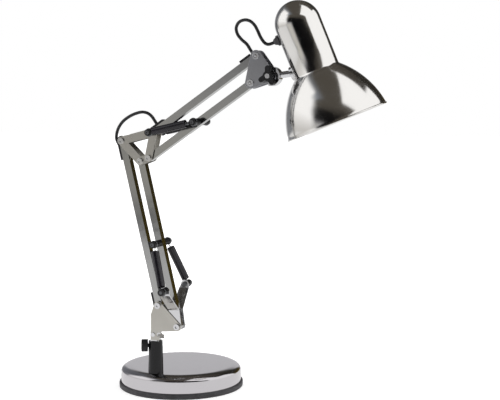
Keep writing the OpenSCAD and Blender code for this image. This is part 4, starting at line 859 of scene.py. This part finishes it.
class DESKLAMP_OT_springs(Operator):
    """The four tension springs with their end hooks and sleeves"""
    bl_idname = "desklamp.springs"
    bl_label = "Springs"

    # Middle of a hook's wire round a spool, in mm
    hook_r = 4.7

    def hook(self, at, heading):
        """Points of a loop round a spool at a point, open by a wire's width, that ends towards heading."""
        steps, opening = 12, 28
        flat = Vector((heading.x, 0, heading.z)).normalized()
        up = Vector((flat.z, 0, -flat.x))
        points = []
        for k in range(steps + 1):
            a = math.radians(opening + (360 - opening) * k / steps)
            points.append(at + self.hook_r * (math.cos(a) * flat + math.sin(a) * up))
        return points

    def helix(self, at, heading, start, length, turns, radius):
        """Points of a coil of wire round the line from at along heading."""
        place = Matrix.Translation(at) @ heading.to_track_quat("Z", "Y").to_matrix().to_4x4()
        per_turn = 12
        count = turns * per_turn
        return [place @ Vector((radius * math.cos(math.tau * k / per_turn),
                                radius * math.sin(math.tau * k / per_turn),
                                start + length * k / count)) for k in range(count + 1)]

    def wires(self, name, ends, hook_len, length, turns, body, node):
        """A pair of hooks, each with its coil."""
        sizes = bpy.context.scene.lamp_sizes
        wire = sizes.wire / MM / 2
        radius = sizes.coil / MM / 2 - wire
        bm = bmesh.new()
        for at, heading in ends:
            coil = self.helix(at, heading, hook_len + wire, length - 2 * wire, turns, radius)
            shank = at + (hook_len + wire) * heading
            hook = self.hook(at, heading)
            route = hook + [0.5 * (hook[-1] + shank) + 0.1 * heading, shank] + coil[2:]
            add_tube(bm, rings_along(smooth_path([p * MM for p in route], 1.4 * MM)), wire, 8)
        bmesh.ops.recalc_face_normals(bm, faces=bm.faces)
        return new_piece(name, bm, [finish("spring_wire")], body, [node], 60)

    def execute(self, context):
        sizes = context.scene.lamp_sizes
        length = sizes.coil_length / MM

        def hook_at(p, v, side):
            return in_arms(p, side * v) / MM

        lower, upper = [], []
        for side in (-1, 1):
            ear, cross = hook_at(EAR_PIN, EAR_SPRING_SIDE, side), hook_at(CROSS_LOW, SPRING_SIDE, side)
            lower.append((ear, cross, (cross - ear).normalized()))
            elbow, cross = hook_at(ELBOW_TOP, SPRING_SIDE, side), hook_at(CROSS_UP, SPRING_SIDE, side)
            upper.append((elbow, cross, (cross - elbow).normalized()))
        self.wires("lower_spring_wires", [(q, -d) for p, q, d in lower], 8.0, length, sizes.turns,
                   "lower_spring_pair", "lower_springs")
        self.wires("upper_spring_wires", [(q, -d) for p, q, d in upper], 5.4, length, sizes.turns,
                   "upper_spring_pair", "upper_springs")
        self.wires("lower_eye_wires", [(p, d) for p, q, d in lower], 9.0, EYE_COIL, EYE_TURNS,
                   "lower_sleeve_pair", "lower_eyes")
        self.wires("upper_eye_wires", [(p, d) for p, q, d in upper], 7.0, EYE_COIL, EYE_TURNS,
                   "upper_sleeve_pair", "upper_eyes")
        rounded("lower_sleeves", finish("extruded_sleeve"), "lower_sleeve_pair", 0.25 * MM)
        rounded("upper_sleeves", finish("extruded_sleeve"), "upper_sleeve_pair", 0.25 * MM)
        return {"FINISHED"}


class DESKLAMP_OT_head_joint(Operator):
    """Head plates, tilt clamp, wing knob and swivel stud"""
    bl_idname = "desklamp.head_joint"
    bl_label = "Head joint"

    def execute(self, context):
        sizes = context.scene.lamp_sizes
        rounded("head_plates", finish("grey_plate"), "head_bracket", sizes.plate_edge)
        rounded("head_eyelets", finish("bright_hardware"), "head_bracket", 0.35 * MM)
        rounded("clamp_bolt", finish("bright_hardware"), "head_bracket", sizes.small_edge)
        rounded("wing_knob", finish("moulded_knob"), "wing_screw", sizes.knob_edge, 35, 3)
        rounded("tilt_clamp", finish("bright_hardware"), "clamp", 0.35 * MM)
        rounded("swivel_stud", finish("bright_hardware"), "head", sizes.small_edge)
        rounded("stud_nuts", finish("satin_nickel"), "head", sizes.small_edge)
        rounded("saddle_washer", finish("bright_hardware"), "head", sizes.small_edge)
        return {"FINISHED"}


class DESKLAMP_OT_shade(Operator):
    """Shade, lamp holder and bulb"""
    bl_idname = "desklamp.shade"
    bl_label = "Shade and bulb"

    def section(self):
        """The wall of the shade: dome, neck, bell, the rolled bead at its mouth, and back inside."""
        sheet, bead = 1.0, 1.1
        chord = Vector((MOUTH_R - NECK_R, -BELL_LEN))
        normal = Vector((-BELL_LEN, NECK_R - MOUTH_R)).normalized()
        centre = (Vector((NECK_R, 0)) + chord / 2
                  + math.sqrt(BELL_CURVE_R**2 - (chord.length / 2) ** 2) * normal)

        def dome(r, start, stop, steps=20):
            return [(r * math.cos(a), NECK_LEN + r * math.sin(a))
                    for a in (math.radians(start + (stop - start) * k / steps) for k in range(steps + 1))]

        def bell(t, top, bottom, steps=36):
            r = BELL_CURVE_R - t
            a, b = (math.asin((z - centre.y) / r) for z in (top, bottom))
            return [(centre.x + r * math.cos(c), centre.y + r * math.sin(c))
                    for c in (a + (b - a) * k / steps for k in range(steps + 1))]

        inner_top = centre.y + math.sqrt((BELL_CURVE_R - sheet) ** 2 - (NECK_R - sheet - centre.x) ** 2)
        foot = -BELL_LEN + 2 * bead
        rolled = [(MOUTH_R - 0.3 + bead * math.cos(a), -BELL_LEN + bead * math.sin(a))
                  for a in map(math.radians, range(70, -211, -20))]
        outside = dome(NECK_R, 90, 0) + [(NECK_R, NECK_LEN / 2), (NECK_R, 0.8)] + bell(0, -0.5, foot)
        inside = bell(sheet, foot, inner_top) + dome(NECK_R - sheet, 0, 90)
        outside[0], inside[-1] = (0, outside[0][1]), (0, inside[-1][1])
        return outside + rolled + inside

    def bulb_section(self):
        """Opal globe, drawn into its neck."""
        r, centre_z, neck, neck_top = 30.0, -29.0, 12.9, 16.5
        points = [(0, centre_z - r)]
        for k in range(1, 31):
            a = math.radians(-90 + 4.6 * k)
            points.append((r * math.cos(a), centre_z + r * math.sin(a)))
        last = points[-1]
        for k in range(1, 9):
            t = k / 8
            points.append((last[0] + (neck - last[0]) * t - 1.6 * math.sin(math.pi * t),
                           last[1] + (neck_top - last[1]) * t))
        return points + [(0, neck_top)]

    def cap_section(self):
        """Screw cap: three rounded threads and the contact at its end."""
        points = [(0, 15.0), (12.8, 15.0), (12.8, 17.0)]
        for k in range(9):
            z = 17.0 + 2.2 * k
            points += [(12.0, z + 0.5), (12.8, z + 1.1), (12.8, z + 1.6), (12.0, z + 2.2)]
        return points + [(11.4, 38.5), (5, 42.5), (0, 42.5)]

    def execute(self, context):
        place = shade_place()
        spun("shade_shell", self.section(), 144, place, [finish("mirror_chrome")], "head",
             ["shade"], 40)
        spun("bulb_glass", self.bulb_section(), 72, place, [finish("opal_glass")], "head",
             ["bulb"])
        spun("bulb_cap", self.cap_section(), 48, place, [finish("bright_hardware")], "head",
             ["bulb"], 50)
        rounded("holder_bracket", finish("satin_nickel"), "head", 0.3 * MM)
        rounded("lamp_holder", finish("moulded_phenolic"), "head", 0.8 * MM)
        return {"FINISHED"}


OPERATORS = (DESKLAMP_OT_stage, DESKLAMP_OT_finishes, DESKLAMP_OT_lead, DESKLAMP_OT_flex, DESKLAMP_OT_base,
             DESKLAMP_OT_socket, DESKLAMP_OT_bracket, DESKLAMP_OT_arms, DESKLAMP_OT_elbow, DESKLAMP_OT_springs,
             DESKLAMP_OT_head_joint, DESKLAMP_OT_shade)


class DESKLAMP_PT_panel(Panel):
    """The lamp's pieces and settings"""
    bl_idname = "DESKLAMP_PT_panel"
    bl_label = "Desk lamp"
    bl_space_type = "VIEW_3D"
    bl_region_type = "UI"
    bl_category = "Desk lamp"

    def draw(self, context):
        for group in (context.scene.lamp_sizes, context.scene.lamp_colours):
            for name in group.__annotations__:
                self.layout.prop(group, name)
        for operator in OPERATORS:
            self.layout.operator(operator.bl_idname)


CLASSES = (LampSizes, LampColours, *OPERATORS, DESKLAMP_PT_panel)


def register():
    for cls in CLASSES:
        bpy.utils.register_class(cls)
    bpy.types.Scene.lamp_sizes = PointerProperty(type=LampSizes)
    bpy.types.Scene.lamp_colours = PointerProperty(type=LampColours)


def unregister():
    del bpy.types.Scene.lamp_sizes, bpy.types.Scene.lamp_colours
    for cls in reversed(CLASSES):
        bpy.utils.unregister_class(cls)


def main():
    register()
    for operator in OPERATORS:
        getattr(bpy.ops.desklamp, operator.bl_idname.split(".")[1])()


if __name__ == "__main__":
    main()
